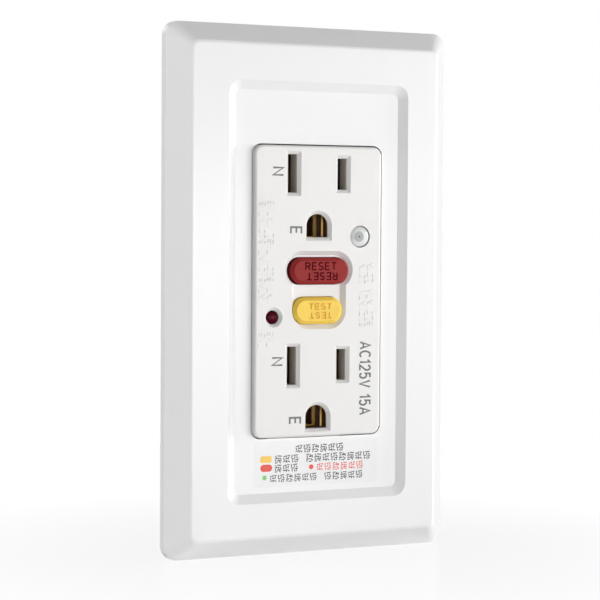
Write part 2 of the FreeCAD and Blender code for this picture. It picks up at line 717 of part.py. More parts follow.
def wall_plate():
    body = new_body("wall_plate")
    sk = sketch(body, 0)
    rectangle(sk, s.plate_width, s.plate_height, s.plate_corner)
    pad(body, sk, s.plate_flange)
    low = sketch(body, s.plate_flange)
    rectangle(low, s.plate_width, s.plate_height, s.plate_corner)
    high = sketch(body, s.plate_out)
    front_width, front_height = s.plate_width - 2 * s.plate_bevel, s.plate_height - 2 * s.plate_bevel
    rectangle(high, front_width, front_height, s.plate_front_corner)
    loft(body, [low, high])
    dress(body, "Fillet", edges(body, lambda e: at_out(e, s.plate_out)), s.plate_edge_round)

    field = s.plate_out - s.recess_depth
    brim = sketch(body, s.plate_out + 0.001)
    rectangle(brim, s.recess_width, s.recess_height, s.recess_corner, s.recess_x, -1 * s.recess_drop)
    floor = sketch(body, field)
    floor_width = s.recess_width - 2 * s.recess_slope
    floor_height = s.recess_height - 2 * s.recess_slope
    rectangle(floor, floor_width, floor_height, s.recess_floor_corner, s.recess_x, -1 * s.recess_drop)
    loft(body, [brim, floor], subtractive=True)
    sk = sketch(body, s.plate_out)
    rectangle(
        sk,
        s.face_width + 2 * s.face_side_gap,
        s.face_height + 2 * s.face_gap,
        s.face_corner + s.face_gap,
        s.recess_x,
    )
    pocket(body, sk)

    # the hollow behind, in a straight and a sloping part
    lean = s.plate_bevel / (s.plate_out - s.plate_flange)
    inner_width = s.plate_width - 2 * s.plate_wall
    inner_height = s.plate_height - 2 * s.plate_wall
    corner = s.plate_corner - s.plate_wall
    sk = sketch(body, 0)
    rectangle(sk, inner_width, inner_height, corner)
    pocket(body, sk, s.plate_flange, forward=True)
    low = sketch(body, s.plate_flange - 0.001)
    rectangle(low, inner_width, inner_height, corner)
    ceiling = field - s.plate_wall
    inset = 2 * lean * (ceiling - s.plate_flange)
    high = sketch(body, ceiling)
    rectangle(high, inner_width - inset, inner_height - inset, corner)
    loft(body, [low, high], subtractive=True)

    # grooves between the ribs that stiffen the raised border
    roof = s.plate_out - s.plate_wall
    far_inset = 2 * lean * (roof - s.plate_flange) + s.plate_wall
    side_far = (inner_width - far_inset) / 2
    side_near = s.recess_width / 2 + s.recess_x + s.plate_wall * 0.8
    end_far = (inner_height - far_inset) / 2
    end_near = s.recess_height / 2 + s.plate_wall * 0.8
    run = (s.recess_height - 2 * s.plate_wall) / 3
    half_run = (s.recess_width - 2 * s.plate_wall) / 2
    sk = sketch(body, ceiling - 0.1)
    for side in SIDES:
        for step in (-1, 0, 1):
            middle = (side_far + side_near) / 2 * side
            rectangle(sk, side_far - side_near, run, 0.8, middle, step * (run + s.plate_wall))
        for half in SIDES:
            middle = (end_far + end_near) / 2 * side
            rectangle(sk, half_run, end_far - end_near, 0.8, half * (half_run + s.plate_wall) / 2, middle)
    pocket(body, sk, roof - ceiling + 0.1, forward=True)
    for side in SIDES:
        for level in SIDES:
            snap_leg(body, side, level * s.leg_rise)


def plate_frame():
    """The frame that the wall plate snaps over."""
    body = new_body("plate_frame")
    opening_width = s.frame_width - 2 * s.frame_bar
    opening_height = s.frame_height - 2 * s.frame_end_bar
    sk = sketch(body, s.strap_thickness)
    rectangle(sk, s.frame_width, s.frame_height, 3.0)
    rectangle(sk, opening_width, opening_height, 1.5)
    pad(body, sk, s.frame_thickness)
    sk = sketch(body, s.strap_thickness)
    for side in SIDES:
        for level in SIDES:
            u = side * (s.frame_width - s.frame_foot) / 2
            v = level * (s.frame_height - s.frame_foot) / 2
            rectangle(sk, s.frame_foot, s.frame_foot, 2.4, u, v)
    pad(body, sk, s.strap_thickness, backward=True)
    front = s.strap_thickness + s.frame_thickness
    sk = sketch(body, front)
    for level in SIDES:
        circle(sk, 0, level * s.plate_screw_pitch / 2, SCREW_HOLE)
    pocket(body, sk)
    rims = edges(body, lambda e: at_out(e, front) and inside(e, -3, 3, -999, 999) and round_edge(e))
    dress(body, "Chamfer", rims, (s.plate_head_diameter - s.machine_thread) / 2)
    sk = sketch(body, front)
    for side in SIDES:
        for level in SIDES:
            stadium(sk, side * 16.5, level * (s.frame_height / 2 - s.frame_end_bar / 2), 11.0, 4.2)
    pocket(body, sk)
    outer = edges(body, lambda e: at_out(e, front) and not inside(e, -22.5, 22.5, -55, 55))
    dress(body, "Chamfer", outer, 0.4)


def screw_slot(x, out, z, length, depth, lying=True):
    """Tool for the driver's slot across a head that faces out of the wall."""
    long_half, short_half = length / 2, 0.45
    if lying:
        return block(x - long_half, x + long_half, out - depth, out + 0.1, z - short_half, z + short_half)
    return block(x - short_half, x + short_half, out - depth, out + 0.1, z - long_half, z + long_half)


def plate_screws():
    front = s.strap_thickness + s.frame_thickness
    radius = s.machine_thread / 2
    sink = (s.plate_head_diameter - s.machine_thread) / 2
    made = []
    for level in SIDES:
        z = level * s.plate_screw_pitch / 2
        shank = rod(0, front - s.plate_screw_length, z, radius, s.plate_screw_length - 0.05, "out")
        head = taper(0, front - sink - 0.1, z, radius, radius + sink - 0.05, sink + 0.05, "out")
        made.append(cut(joined(shank, head), screw_slot(0, front, z, s.plate_head_diameter + 1, 0.8)))
    keep(group(*made), "plate_screws")


def box_screws():
    radius = s.machine_thread / 2
    made = []
    for level in SIDES:
        z = level * s.box_screw_pitch / 2
        tip = STRAP_FRONT - s.box_screw_length
        shank = rod(0, tip, z, radius, -1 * s.neck_depth - tip, "out")
        neck = rod(0, -1 * s.neck_depth - 0.1, z, s.neck_radius, s.neck_depth + STRAP_FRONT + 0.2, "out")
        point = taper(0, tip - 1.0, z, radius * 0.55, radius, 1.0, "out")
        head = rod(0, STRAP_FRONT, z, s.pan_head_diameter / 2, s.pan_head_height * 0.6, "out")
        dome_top = taper(
            0,
            STRAP_FRONT + s.pan_head_height * 0.6,
            z,
            s.pan_head_diameter / 2,
            s.pan_head_diameter / 2 - 0.8,
            s.pan_head_height * 0.4,
            "out",
        )
        slot = screw_slot(0, STRAP_FRONT + s.pan_head_height, z, s.pan_head_diameter + 1, 1.1, lying=False)
        made.append(cut(joined(shank, neck, point, head, dome_top), slot))
    keep(group(*made), "box_screws")


def screw_retainers():
    """Fibre squares that hold the box screws captive behind the strap."""
    made = []
    for level in SIDES:
        z = level * s.box_screw_pitch / 2
        square = block(-4.0, 4.0, -0.8, 0, z - 4.0, z + 4.0)
        made.append(cut(square, rod(0, -1, z, s.neck_radius + 0.05, 1.2, "out")))
    keep(group(*made), "screw_retainers")


def mounting_strap():
    body = new_body("mounting_strap")
    ear, wide = s.ear_width / 2, s.strap_width / 2
    top, shoulder = s.strap_height / 2, s.strap_shoulder
    sk = sketch(body, 0)
    outline(
        sk,
        [
            (-ear, -top, 3.0),
            (ear, -top, 3.0),
            (ear, -shoulder, 0.8),
            (wide, -shoulder, 0.8),
            (wide, shoulder, 0.8),
            (ear, shoulder, 0.8),
            (ear, top, 3.0),
            (-ear, top, 3.0),
            (-ear, shoulder, 0.8),
            (-wide, shoulder, 0.8),
            (-wide, -shoulder, 0.8),
            (-ear, -shoulder, 0.8),
        ],
    )
    pad(body, sk, s.strap_thickness)
    # bent tab of the earth screw
    sk = sketch(body, s.strap_thickness)
    tab_z = -1 * (s.strap_height / 2 - 3.5 - s.earth_tab_height)
    tab_middle = tab_z - s.earth_tab_height / 2
    rectangle(
        sk,
        s.strap_thickness,
        s.earth_tab_height,
        0,
        -1 * (ear - s.strap_thickness / 2),
        tab_middle,
    )
    pad(body, sk, s.strap_thickness + s.earth_tab_depth, backward=True)
    sk = sketch(body, -1 * ear - 0.1, "YZ_Plane")
    circle(sk, s.earth_tab_depth / 2 + 0.6, tab_middle, SCREW_HOLE)
    pocket(body, sk, s.strap_thickness + 0.2, forward=True)

    flange = s.flange_reach + 0.4
    low = -1 * (s.test_drop + s.test_width / 2 + flange)
    high = s.reset_rise + s.reset_width / 2 + flange
    half = s.reset_length / 2 + s.reset_x + s.flange_reach + 0.5
    sk = sketch(body, s.strap_thickness)
    rectangle(sk, 2 * half, high - low, 1.0, 0, (low + high) / 2)
    for z in BLADE_ROWS:
        for side in SIDES:
            width = s.slot_width + 2 * s.chimney_wall
            rectangle(sk, width, s.neutral_slot + 1.8, 0.8, side * BLADE_X, z)
    for z in EARTH_ROWS:
        rectangle(sk, s.ground_hole + 2.0, s.ground_hole + 1.0, 1.2, 0, z)
    for level in SIDES:
        stadium(sk, 0, level * s.box_screw_pitch / 2, s.machine_thread * 2, s.machine_thread + 0.7)
        circle(sk, 0, level * s.plate_screw_pitch / 2, SCREW_HOLE)
        circle(sk, 8.6, level * (s.plate_screw_pitch / 2 - 1), 1.3)
        circle(sk, -8.6, level * (s.plate_screw_pitch / 2 - 1), 1.3)
    for z in EARTH_ROWS:
        for side in SIDES:
            circle(sk, side * 2.6, z + s.ground_drop / 2 - 1.0, 0.8)
    pocket(body, sk)
    # notches for the leads of both lamps
    notch = s.lead_pitch + 1.0
    sk = sketch(body, s.strap_thickness)
    reach = POWER_LEADS_X + notch / 2
    rectangle(sk, reach - half + 0.5, 1.8, 0, (reach + half - 0.5) / 2, s.lead_turn_height)
    reach = s.fault_lamp_x + notch / 2
    rectangle(sk, reach - half + 0.5, 1.8, 0, -1 * (reach + half - 0.5) / 2, -1 * s.fault_lamp_drop)
    pocket(body, sk)


def face_cover():
    body = new_body("face_cover")
    sk = sketch(body, STRAP_FRONT)
    rectangle(sk, s.body_width, s.body_height, s.body_corner)
    pad(body, sk, s.cover_flange)
    sk = sketch(body, STRAP_FRONT + s.cover_flange - 0.2)
    rectangle(sk, s.face_width, s.face_height, s.face_corner, s.face_x)
    pad(body, sk, s.face_out - STRAP_FRONT - s.cover_flange + 0.2)
    dress(body, "Fillet", edges(body, lambda e: at_out(e, s.face_out)), s.face_round)
    flange_front = STRAP_FRONT + s.cover_flange
    rim = edges(body, lambda e: at_out(e, flange_front) and not inside(e, -18, 18, -34, 34))
    dress(body, "Chamfer", rim, 0.5)
    sk = sketch(body, STRAP_FRONT)
    inner_width = s.face_width - 2 * s.face_skin
    inner_height = s.face_height - 2 * s.face_skin
    rectangle(sk, inner_width, inner_height, 0.8, s.face_x)
    pocket(body, sk, FACE_BACK - STRAP_FRONT, forward=True)

    # posts for the housing screws, and sleeves that lead a plug's blades through
    sk = sketch(body, STRAP_FRONT + 0.2)
    for side in SIDES:
        for level in SIDES:
            circle(sk, side * s.body_screw_x, level * s.body_screw_rise, 2.2)
    pad(body, sk, STRAP_FRONT + 0.2 + 6.0, backward=True)
    sk = sketch(body, FACE_BACK + 0.2)
    for z in BLADE_ROWS:
        for side, length in ((-1, s.neutral_slot), (1, s.hot_slot)):
            width = s.slot_width + 2 * s.chimney_wall
            rectangle(sk, width, length + 2 * s.chimney_wall, 0.6, side * BLADE_X, z)
    pad(body, sk, FACE_BACK + 0.2 - s.chimney_out, backward=True)
    sk = sketch(body, FACE_BACK)
    for z in EARTH_ROWS:
        rectangle(sk, 2 * s.ground_mouth + 1.2, s.ground_clip_length + 0.7, 0.3, 0, z + 0.25)
    pocket(body, sk, s.face_wall - s.earth_skin, forward=True)
    sk = sketch(body, s.plate_out - s.recess_depth - 0.3)
    for x, width in ((-8.1, 7.0), (1.3, 11.2)):
        rectangle(sk, width, s.tab_reach + 0.15, 0, x, -1 * (s.face_height / 2 + (s.tab_reach - 0.15) / 2))
    pad(body, sk, s.plate_out - s.recess_depth - 0.3 - flange_front + 0.1, backward=True)

    sk = sketch(body, s.face_out)
    for z in BLADE_ROWS:
        rectangle(sk, s.slot_width, s.neutral_slot, 0, -1 * BLADE_X, z)
        rectangle(sk, s.slot_width, s.hot_slot, 0, BLADE_X, z)
    for z in EARTH_ROWS:
        dome(sk, 0, z, s.ground_hole, s.ground_flat)
    pocket(body, sk)
    near = BLADE_X + s.slot_width
    for z in BLADE_ROWS:
        high, low = z + s.neutral_slot / 2 + 0.2, z - s.neutral_slot / 2 - 0.2
        around = edges(body, lambda e: at_out(e, s.face_out) and inside(e, -near, near, low, high))
        dress(body, "Chamfer", around, s.slot_bevel)
    for z in EARTH_ROWS:
        high, low = z + s.ground_hole, z - s.ground_flat - 0.2
        around = edges(body, lambda e: at_out(e, s.face_out) and inside(e, -3.5, 3.5, low, high))
        dress(body, "Chamfer", around, s.slot_bevel)

    # the well that both buttons stand in
    slope = s.well_bevel
    head_low = s.reset_rise - s.reset_width / 2 - s.button_gap - s.well_neck + slope
    head_high = s.reset_rise + s.reset_width / 2 + s.button_gap + s.well_head - slope
    head_middle = (head_low + head_high) / 2
    head_length = s.reset_length + 2 * s.reset_end_gap + 2 * (s.well_side - slope)
    foot_low = -1 * (s.test_drop + s.test_width / 2 + s.button_gap + s.well_foot - slope)
    foot_half = s.test_length / 2 + s.test_end_gap + s.well_cheek - slope
    sk = sketch(body, s.face_out)
    stadium(sk, s.well_x, head_middle, head_length, head_high - head_low)
    pocket(body, sk, s.well_depth)
    sk = sketch(body, s.face_out)
    foot_height = 2 * (-1 * s.test_drop - foot_low)
    stadium(sk, s.well_x, -1 * s.test_drop, 2 * foot_half, foot_height)
    pocket(body, sk, s.well_depth)
    sk = sketch(body, s.face_out)
    rectangle(sk, 2 * foot_half, head_middle + s.test_drop, 0, s.well_x, (head_middle - s.test_drop) / 2)
    pocket(body, sk, s.well_depth)
    reach = head_length / 2 + s.well_x + 0.2
    around = edges(
        body,
        lambda e: at_out(e, s.face_out)
        and inside(e, -reach, reach, foot_low - 0.2, head_high + 0.2)
        and e.Length > 0.01,
    )
    dress(body, "Chamfer", around, slope)
    sk = sketch(body, s.face_out)
    gap = 2 * s.button_gap
    stadium(sk, s.well_x, s.reset_rise, s.reset_length + 2 * s.reset_end_gap, s.reset_width + gap)
    stadium(sk, 0, -1 * s.test_drop, s.test_length + 2 * s.test_end_gap, s.test_width + gap)
    pocket(body, sk)
    sk = sketch(body, s.face_out)
    circle(sk, s.power_lamp_x, s.power_lamp_rise, s.power_lamp / 2 + s.lamp_gap)
    circle(sk, -1 * s.fault_lamp_x, -1 * s.fault_lamp_drop, s.fault_lamp / 2 + s.lamp_gap)
    pocket(body, sk)
    left = -1 * s.fault_lamp_x
    low = -1 * s.fault_lamp_drop - 2
    around = edges(body, lambda e: at_out(e, s.face_out) and inside(e, left - 2, left + 2, low, low + 4))
    dress(body, "Chamfer", around, s.lamp_bevel)
    # pilot holes for the housing screws
    sk = sketch(body, -6.1)
    for side in SIDES:
        for level in SIDES:
            u, v = side * s.body_screw_x, level * s.body_screw_rise
            circle(sk, u, v, s.body_screw_thread / 2 + s.thread_room)
    pocket(body, sk, 6.1 + STRAP_FRONT + 1.2, forward=True)


def button(label, length, width, x, z, front, flange_front, stem=False):
    """A stadium-shaped button with a bevelled front, a retaining flange, and a stem or the pin's hole."""
    body = new_body(label)
    sk = sketch(body, s.button_back)
    stadium(sk, x, z, length, width)
    pad(body, sk, front - s.button_back)
    dress(body, "Chamfer", edges(body, lambda e: at_out(e, front)), s.button_bevel)
    sk = sketch(body, flange_front)
    stadium(sk, x, z, length + 2 * s.flange_reach, width + 2 * s.flange_reach)
    pad(body, sk, s.button_flange, backward=True)
    if stem:
        sk = sketch(body, s.button_back + 0.3)
        circle(sk, 0, z, s.test_stem)
        pad(body, sk, s.button_back + 0.3 + s.test_stem_end, backward=True)
    else:
        sk = sketch(body, s.button_back)
        circle(sk, 0, z, s.pin_radius + 0.02)
        pocket(body, sk, 2.4, forward=True)


def buttons():
    seat = FACE_BACK - s.trip_travel - 0.1
    button("reset_button", s.reset_length, s.reset_width, s.reset_x, s.reset_rise, s.reset_out, seat)
    seat, z = FACE_BACK - 0.1, -1 * s.test_drop
    button("test_button", s.test_length, s.test_width, 0, z, s.test_out, seat, stem=True)


def reset_pin():
    body = new_body("reset_pin")
    lip = LATCH_FRONT - s.latch_sheet - 0.1
    points = [
        (0, s.button_back + 2.38),
        (s.pin_radius, s.button_back + 2.38),
        (s.pin_radius, lip + s.latch_sheet + 0.6),
        (s.pin_neck, lip + s.latch_sheet + 0.3),
        (s.pin_neck, lip),
        (s.pin_radius, lip - 0.2),
        (s.pin_radius, -1 * s.pin_end + 0.8),
        (s.pin_neck * 0.5, -1 * s.pin_end),
        (0, -1 * s.pin_end),
    ]
    turned(body, points, 0, s.reset_rise)


def springs():
    for label, z, seat, radius, wire, turns in (
        ("reset_spring", s.reset_rise, s.spring_seat, s.spring_radius, s.spring_wire, s.spring_turns),
        ("test_spring", -s.test_drop, s.test_seat, s.test_spring_radius, s.fine_wire, s.test_spring_turns),
    ):
        length = s.button_back + seat - 2 * wire - 0.02
        keep(coil(0, wire + 0.01 - seat, z, radius, wire, turns, length, "out"), label)
    wire, radius = s.fine_wire, s.return_spring_radius
    start = s.coil_start + s.coil_length + s.bracket_sheet + wire + 0.01
    length = s.return_spring_length - 2 * wire - 0.02
    made = coil(0, -1 * s.coil_depth, start, radius, wire, s.return_spring_turns, length, "up")
    keep(made, "plunger_spring")


def test_contact():
    """Brass strip under the test button's stem, with a leg to the circuit board."""
    body = new_body("test_contact")
    front = -1 * s.test_contact_depth
    left, right = -1.6, s.test_leg_x + s.test_leaf_sheet
    sk = sketch(body, front)
    rectangle(sk, right - left, 2.0, 0, (left + right) / 2, -1 * s.test_drop)
    pad(body, sk, s.test_leaf_sheet, backward=True)
    sk = sketch(body, front)
    rectangle(sk, s.test_leaf_sheet, 2.0, 0, right - s.test_leaf_sheet / 2, -1 * s.test_drop)
    pad(body, sk, front - POST_END, backward=True)


def lamps():
    for label, x, z, diameter, front, flange in (
        ("power_lamp", s.power_lamp_x, s.power_lamp_rise, s.power_lamp, s.face_out + 0.3, 0.5),
        ("fault_lamp", -1 * s.fault_lamp_x, -1 * s.fault_lamp_drop, s.fault_lamp, s.face_out - 0.4, 0.4),
    ):
        body = new_body(label)
        radius = diameter / 2
        back = FACE_BACK - 2.0
        points = [
            (0, back),
            (radius + flange, back),
            (radius + flange, FACE_BACK - 0.05),
            (radius, FACE_BACK - 0.05),
            (radius, front - 0.8),
            (radius * 0.93, front - 0.42),
            (radius * 0.72, front - 0.14),
            (radius * 0.4, front - 0.02),
            (0, front),
        ]
        turned(body, points, x, z)
    back = FACE_BACK - 2.0
    turn = STRAP_FRONT + 0.6
    made = []
    for side in SIDES:
        x = POWER_LEADS_X + side * s.lead_pitch / 2
        radius = s.lead_radius
        start_z, end_z = s.power_lamp_rise, s.lead_turn_height
        stub = rod(x, turn - radius, start_z, radius, back - turn + radius, "out")
        drop = rod(x, turn, end_z - radius, radius, start_z - end_z + 2 * radius, "up")
        tail = rod(x, POST_END, end_z, radius, turn - POST_END + radius, "out")
        made.append(joined(stub, drop, tail))
    keep(group(*made), "power_lamp_leads")
    made = []
    for side in SIDES:
        x = -1 * s.fault_lamp_x + side * s.lead_pitch / 2
        made.append(rod(x, POST_END, -1 * s.fault_lamp_drop, s.lead_radius, back - POST_END, "out"))
    keep(group(*made), "fault_lamp_leads")


def earth_clip(label, z):
    """Contact for a plug's earth pin: a plate behind the strap with two leaves bent into the wall."""
    body = new_body(label)
    sk = sketch(body, 0)
    rectangle(sk, 9.0, s.ground_clip_length + 4.4, 0.8, 0, z + 1.5)
    rectangle(sk, 2 * s.ground_mouth, s.ground_clip_length, 0, 0, z)
    pad(body, sk, s.terminal_sheet, backward=True)
    sheet_ = s.clip_sheet
    mouth, pinch, depth = s.ground_mouth, s.ground_pinch, s.ground_clip_depth
    profile = [
        (mouth + 0.2, 0.1),
        (mouth + sheet_, 0.1),
        (mouth + sheet_, 1.2),
        (pinch + sheet_, depth * 0.62),
        (mouth + sheet_ * 0.4, depth),
        (mouth - sheet_ * 0.6, depth),
        (pinch, depth * 0.62),
        (mouth - 0.05, 1.0),
        (mouth - 0.05, 0.1),
    ]
    front = s.earth_skin + 0.4 - s.face_out
    waist = s.ground_pinch + 0.2
    shoulder = s.ground_hole / 2 + 0.42
    lead_in = [
        (mouth - 0.1, front),
        (mouth + sheet_ - 0.1, front),
        (waist + sheet_, front * 0.56),
        (shoulder, -1 * STRAP_FRONT - 0.05),
        (shoulder, 0.05),
        (mouth + 0.2, 0.1),
        (mouth + 0.2, 0.7),
        (waist, 0.7),
        (shoulder - sheet_, -1 * STRAP_FRONT),
        (waist, front * 0.56),
    ]
    for side in SIDES:
        for shape in (profile, lead_in):
            sk = sketch(body, z - s.ground_clip_length / 2, "XY_Plane")
            polygon(sk, [(side * u, depth_) for u, depth_ in shape])
            pad(body, sk, s.ground_clip_length)
    sk = sketch(body, 0)
    for side in SIDES:
        circle(sk, side * 2.6, z + s.ground_drop / 2 - 1.0, 0.8)
    pocket(body, sk)


def earth_rivets():
    made = []
    for z in EARTH_ROWS:
        for side in SIDES:
            x, up = side * 2.6, z + s.ground_drop / 2 - 1.0
            back = -1 * s.terminal_sheet
            shank = rod(x, back - 0.3, up, 0.8, s.terminal_sheet + STRAP_FRONT + 0.4, "out")
            head = taper(x, STRAP_FRONT, up, 1.25, 0.9, 0.4, "out")
            tail = taper(x, back - 0.4, up, 0.9, 1.2, 0.4, "out")
            made.append(joined(shank, head, tail))
    keep(group(*made), "earth_rivets")


def earth_screw():
    """Green screw and clamp on the strap's bent tab."""
    tab_z = -1 * (s.strap_height / 2 - 3.5 - s.earth_tab_height / 2)
    depth = s.earth_tab_depth / 2 + 0.6
    face = -1 * s.ear_width / 2
    radius = s.machine_thread / 2
    clamp = block(face - 0.8, face, -1 * (depth + 3.6), -1 * (depth - 3.6), tab_z - 3.8, tab_z + 3.8)
    hole = rod(face - 1, -1 * depth, tab_z, SCREW_HOLE, 1.2, "right")
    keep(cut(clamp, hole), "earth_clamp")
    head = face - 0.8 - s.terminal_head_height
    top = rod(head, -1 * depth, tab_z, s.terminal_head / 2, s.terminal_head_height, "right")
    shank = rod(head, -1 * depth, tab_z, radius, s.terminal_head_height + 8.0, "right")
    slot = block(head - 0.1, head + 1.1, -1 * (depth + 0.5), -1 * (depth - 0.5), tab_z - 4, tab_z + 4)
    keep(cut(joined(top, shank), slot), "earth_screw")


def contact_tray():
    """Moulding behind the strap that holds buses, clips and the guides of the moving parts."""
    body = new_body("contact_tray")
    sk = sketch(body, 0)
    rectangle(sk, s.tray_width, s.tray_height, 0.8)
    pad(body, sk, s.tray_depth, backward=True)
    # pillars that the circuit board bears on, and the lifter's guides
    sk = sketch(body, TRAY_BACK + 0.1)
    for side in SIDES:
        for level in SIDES:
            circle(sk, side * 8.2, level * 30.2, 1.4)
    pad(body, sk, s.board_depth - s.tray_depth + 0.1, backward=True)
    sk = sketch(body, TRAY_BACK + 0.1)
    guide = s.lifter_height / 2 + s.slide_gap + s.rail_wall / 2
    for side in SIDES:
        for level in SIDES:
            x = side * (s.latch_width / 2 + 0.5 + 0.8)
            rectangle(sk, 1.6, s.rail_wall, 0, x, s.reset_rise + level * guide)
    pad(body, sk, s.lifter_depth + s.latch_sheet + s.lifter_travel + 0.6, backward=True)

    # chambers from behind for clips and buses
    wall = 0.3
    outer = s.tray_width / 2 - wall
    inner = BLADE_X - s.clip_mouth - s.clip_sheet - 0.15
    sk = sketch(body, TRAY_BACK)
    for z in BLADE_ROWS:
        for side in SIDES:
            rectangle(sk, outer - inner, s.clip_length + 1.0, 0, side * (outer + inner) / 2, z)
    pocket(body, sk, s.tray_depth - s.tray_skin, forward=True)
    sk = sketch(body, TRAY_BACK)
    top, low = UPPER_BLADES + 5.0, LOWER_BLADES - 5.0
    for side in SIDES:
        rectangle(sk, 1.4, top - low, 0, side * (outer - 0.7), (top + low) / 2)
    pocket(body, sk, s.tray_depth - 4.7, forward=True)
    sk = sketch(body, TRAY_BACK)
    for side in SIDES:
        near = s.arm_x - s.contact_radius - 0.4
        rectangle(sk, outer - near, 4.4, 0, side * (outer + near) / 2, s.contact_rise)
    pocket(body, sk, 2.1, forward=True)
    sk = sketch(body, TRAY_BACK)
    for side in SIDES:
        rectangle(sk, 0.9, 4.4, 0, side * (outer + 0.2), s.bay_rise)
    pocket(body, sk, 1.6, forward=True)
    # slots and chambers from the front
    sk = sketch(body, 0)
    for z in BLADE_ROWS:
        for side in SIDES:
            rectangle(sk, s.slot_width + 0.5, s.neutral_slot + 0.5, 0, side * BLADE_X, z)
    pocket(body, sk, s.tray_skin + 0.1)
    sk = sketch(body, 0)
    for z in EARTH_ROWS:
        rectangle(sk, 9.4, s.ground_clip_length + 4.8, 0, 0, z + 1.5)
    pocket(body, sk, s.terminal_sheet + 0.1)
    sk = sketch(body, 0)
    for z in EARTH_ROWS:
        rectangle(sk, 2 * s.ground_mouth + 1.6, s.ground_clip_length + 0.8, 0, 0, z)
        for side in SIDES:
            circle(sk, side * 2.6, z + s.ground_drop / 2 - 1.0, 1.35)
    pocket(body, sk, 1.6)
    sk = sketch(body, 0)
    for z in EARTH_ROWS:
        rectangle(sk, 2 * s.ground_mouth + 1.6, s.ground_clip_length + 0.8, 0, 0, z)
    pocket(body, sk, s.ground_clip_depth + 0.4)
    # reset pin and spring, test stem and its contact
    sk = sketch(body, 0)
    circle(sk, 0, s.reset_rise, s.spring_radius + s.spring_wire + 0.2)
    pocket(body, sk, s.spring_seat)
    sk = sketch(body, 0)
    circle(sk, 0, s.reset_rise, s.pin_radius + s.slide_gap + 0.1)
    pocket(body, sk)
    sk = sketch(body, 0)
    circle(sk, 0, -1 * s.test_drop, s.test_spring_radius + s.fine_wire + 0.2)
    pocket(body, sk, s.test_seat)
    right = s.test_leg_x + s.test_leaf_sheet + 0.2
    sk = sketch(body, 0)
    rectangle(sk, right + 1.8, 2.4, 0, (right - 1.8) / 2, -1 * s.test_drop)
    pocket(body, sk, s.test_contact_depth + s.test_leaf_sheet)
    sk = sketch(body, 0)
    rectangle(sk, 1.0, 2.4, 0, s.test_leg_x + 0.2, -1 * s.test_drop)
    pocket(body, sk)
    # hollows that keep the moulding light
    sk = sketch(body, TRAY_BACK)
    for level in SIDES:
        rectangle(sk, 6.0, 3.0, 0.5, 0, level * 25.5 + 2.6)
    pocket(body, sk, s.tray_depth - 1.6, forward=True)


def bus(label, side):
    """One conductor: a bar with a clip for each outlet, a contact branch and the load terminal."""
    body = new_body(label)
    sheet_ = s.terminal_sheet
    floor = s.tray_depth - 1.1
    top_of_bar = -5.0
    bar_x = s.tray_width / 2 - 1.0
    leaf = s.clip_sheet
    pinch, belly, mouth = s.clip_pinch, s.clip_belly, s.clip_mouth
    first, second, third = s.tray_skin + 0.3, s.tray_skin + 2.6, s.tray_skin + 5.6
    half = [
        (mouth + leaf, first),
        (pinch + leaf, second),
        (belly + leaf, third),
        (belly + leaf, floor + leaf),
    ]
    inner = [(belly, floor), (belly, third), (pinch, second), (mouth, first)]
    profile = half + [(-1 * u, v) for u, v in half[::-1]]
    profile = profile + [(-1 * u, v) for u, v in inner[::-1]] + inner
    for z in BLADE_ROWS:
        sk = sketch(body, z - s.clip_length / 2, "XY_Plane")
        polygon(sk, [(side * (BLADE_X + u), v) for u, v in profile])
        pad(body, sk, s.clip_length)
    top, low = UPPER_BLADES + s.clip_length / 2, LOWER_BLADES - s.clip_length / 2
    sk = sketch(body, top_of_bar)
    rectangle(sk, sheet_, top - low, 0, side * bar_x, (top + low) / 2)
    pad(body, sk, floor + leaf + top_of_bar, backward=True)
    inner_edge, outer_edge = BLADE_X + belly, bar_x + sheet_ / 2
    sk = sketch(body, -1 * floor)
    for z in BLADE_ROWS:
        width = outer_edge - inner_edge
        rectangle(sk, width, s.clip_length, 0, side * (inner_edge + outer_edge) / 2, z)
    pad(body, sk, leaf, backward=True)
    inner_edge = s.arm_x - s.contact_radius
    sk = sketch(body, CONTACT_PLANE + sheet_)
    rectangle(sk, outer_edge - inner_edge, 3.4, 0, side * (inner_edge + outer_edge) / 2, s.contact_rise)
    pad(body, sk, sheet_, backward=True)
    # load terminal at the housing's side
    sk = sketch(body, -1 * (floor + leaf) + sheet_)
    far = s.terminal_x
    rectangle(sk, far - bar_x, 4.0, 0, side * (far + bar_x) / 2, s.bay_rise)
    pad(body, sk, sheet_, backward=True)
    terminal_plate(body, side, s.bay_rise)


def terminal_plate(body, side, z):
    """Upright plate that a wire is clamped to, with its screw hole."""
    sk = sketch(body, -1 * (s.terminal_depth - 4.0))
    rectangle(sk, s.terminal_sheet, s.terminal_width, 0, side * (s.terminal_x - s.terminal_sheet / 2), z)
    pad(body, sk, 8.0, backward=True)
    sk = sketch(body, side * (s.terminal_x + 0.1), "YZ_Plane")
    circle(sk, s.terminal_depth, z, SCREW_HOLE)
    pocket(body, sk, s.terminal_sheet + 0.2, forward=side < 0)


def line_terminal(label, side):
    """Supply terminal with its leg to the circuit board."""
    body = new_body(label)
    z = -1 * s.bay_rise
    end = s.terminal_depth + 4.0
    leg_in = s.bay_inner + 0.1
    terminal_plate(body, side, z)
    sheet_ = s.terminal_sheet
    sk = sketch(body, -1 * end + sheet_)
    rectangle(sk, s.terminal_x - leg_in, 4.0, 0, side * (s.terminal_x + leg_in) / 2, z)
    pad(body, sk, sheet_, backward=True)
    sk = sketch(body, -1 * end + sheet_)
    rectangle(sk, sheet_, 3.0, 0, side * (leg_in + sheet_ / 2), z)
    pad(body, sk, sheet_ - POST_END - end, backward=True)


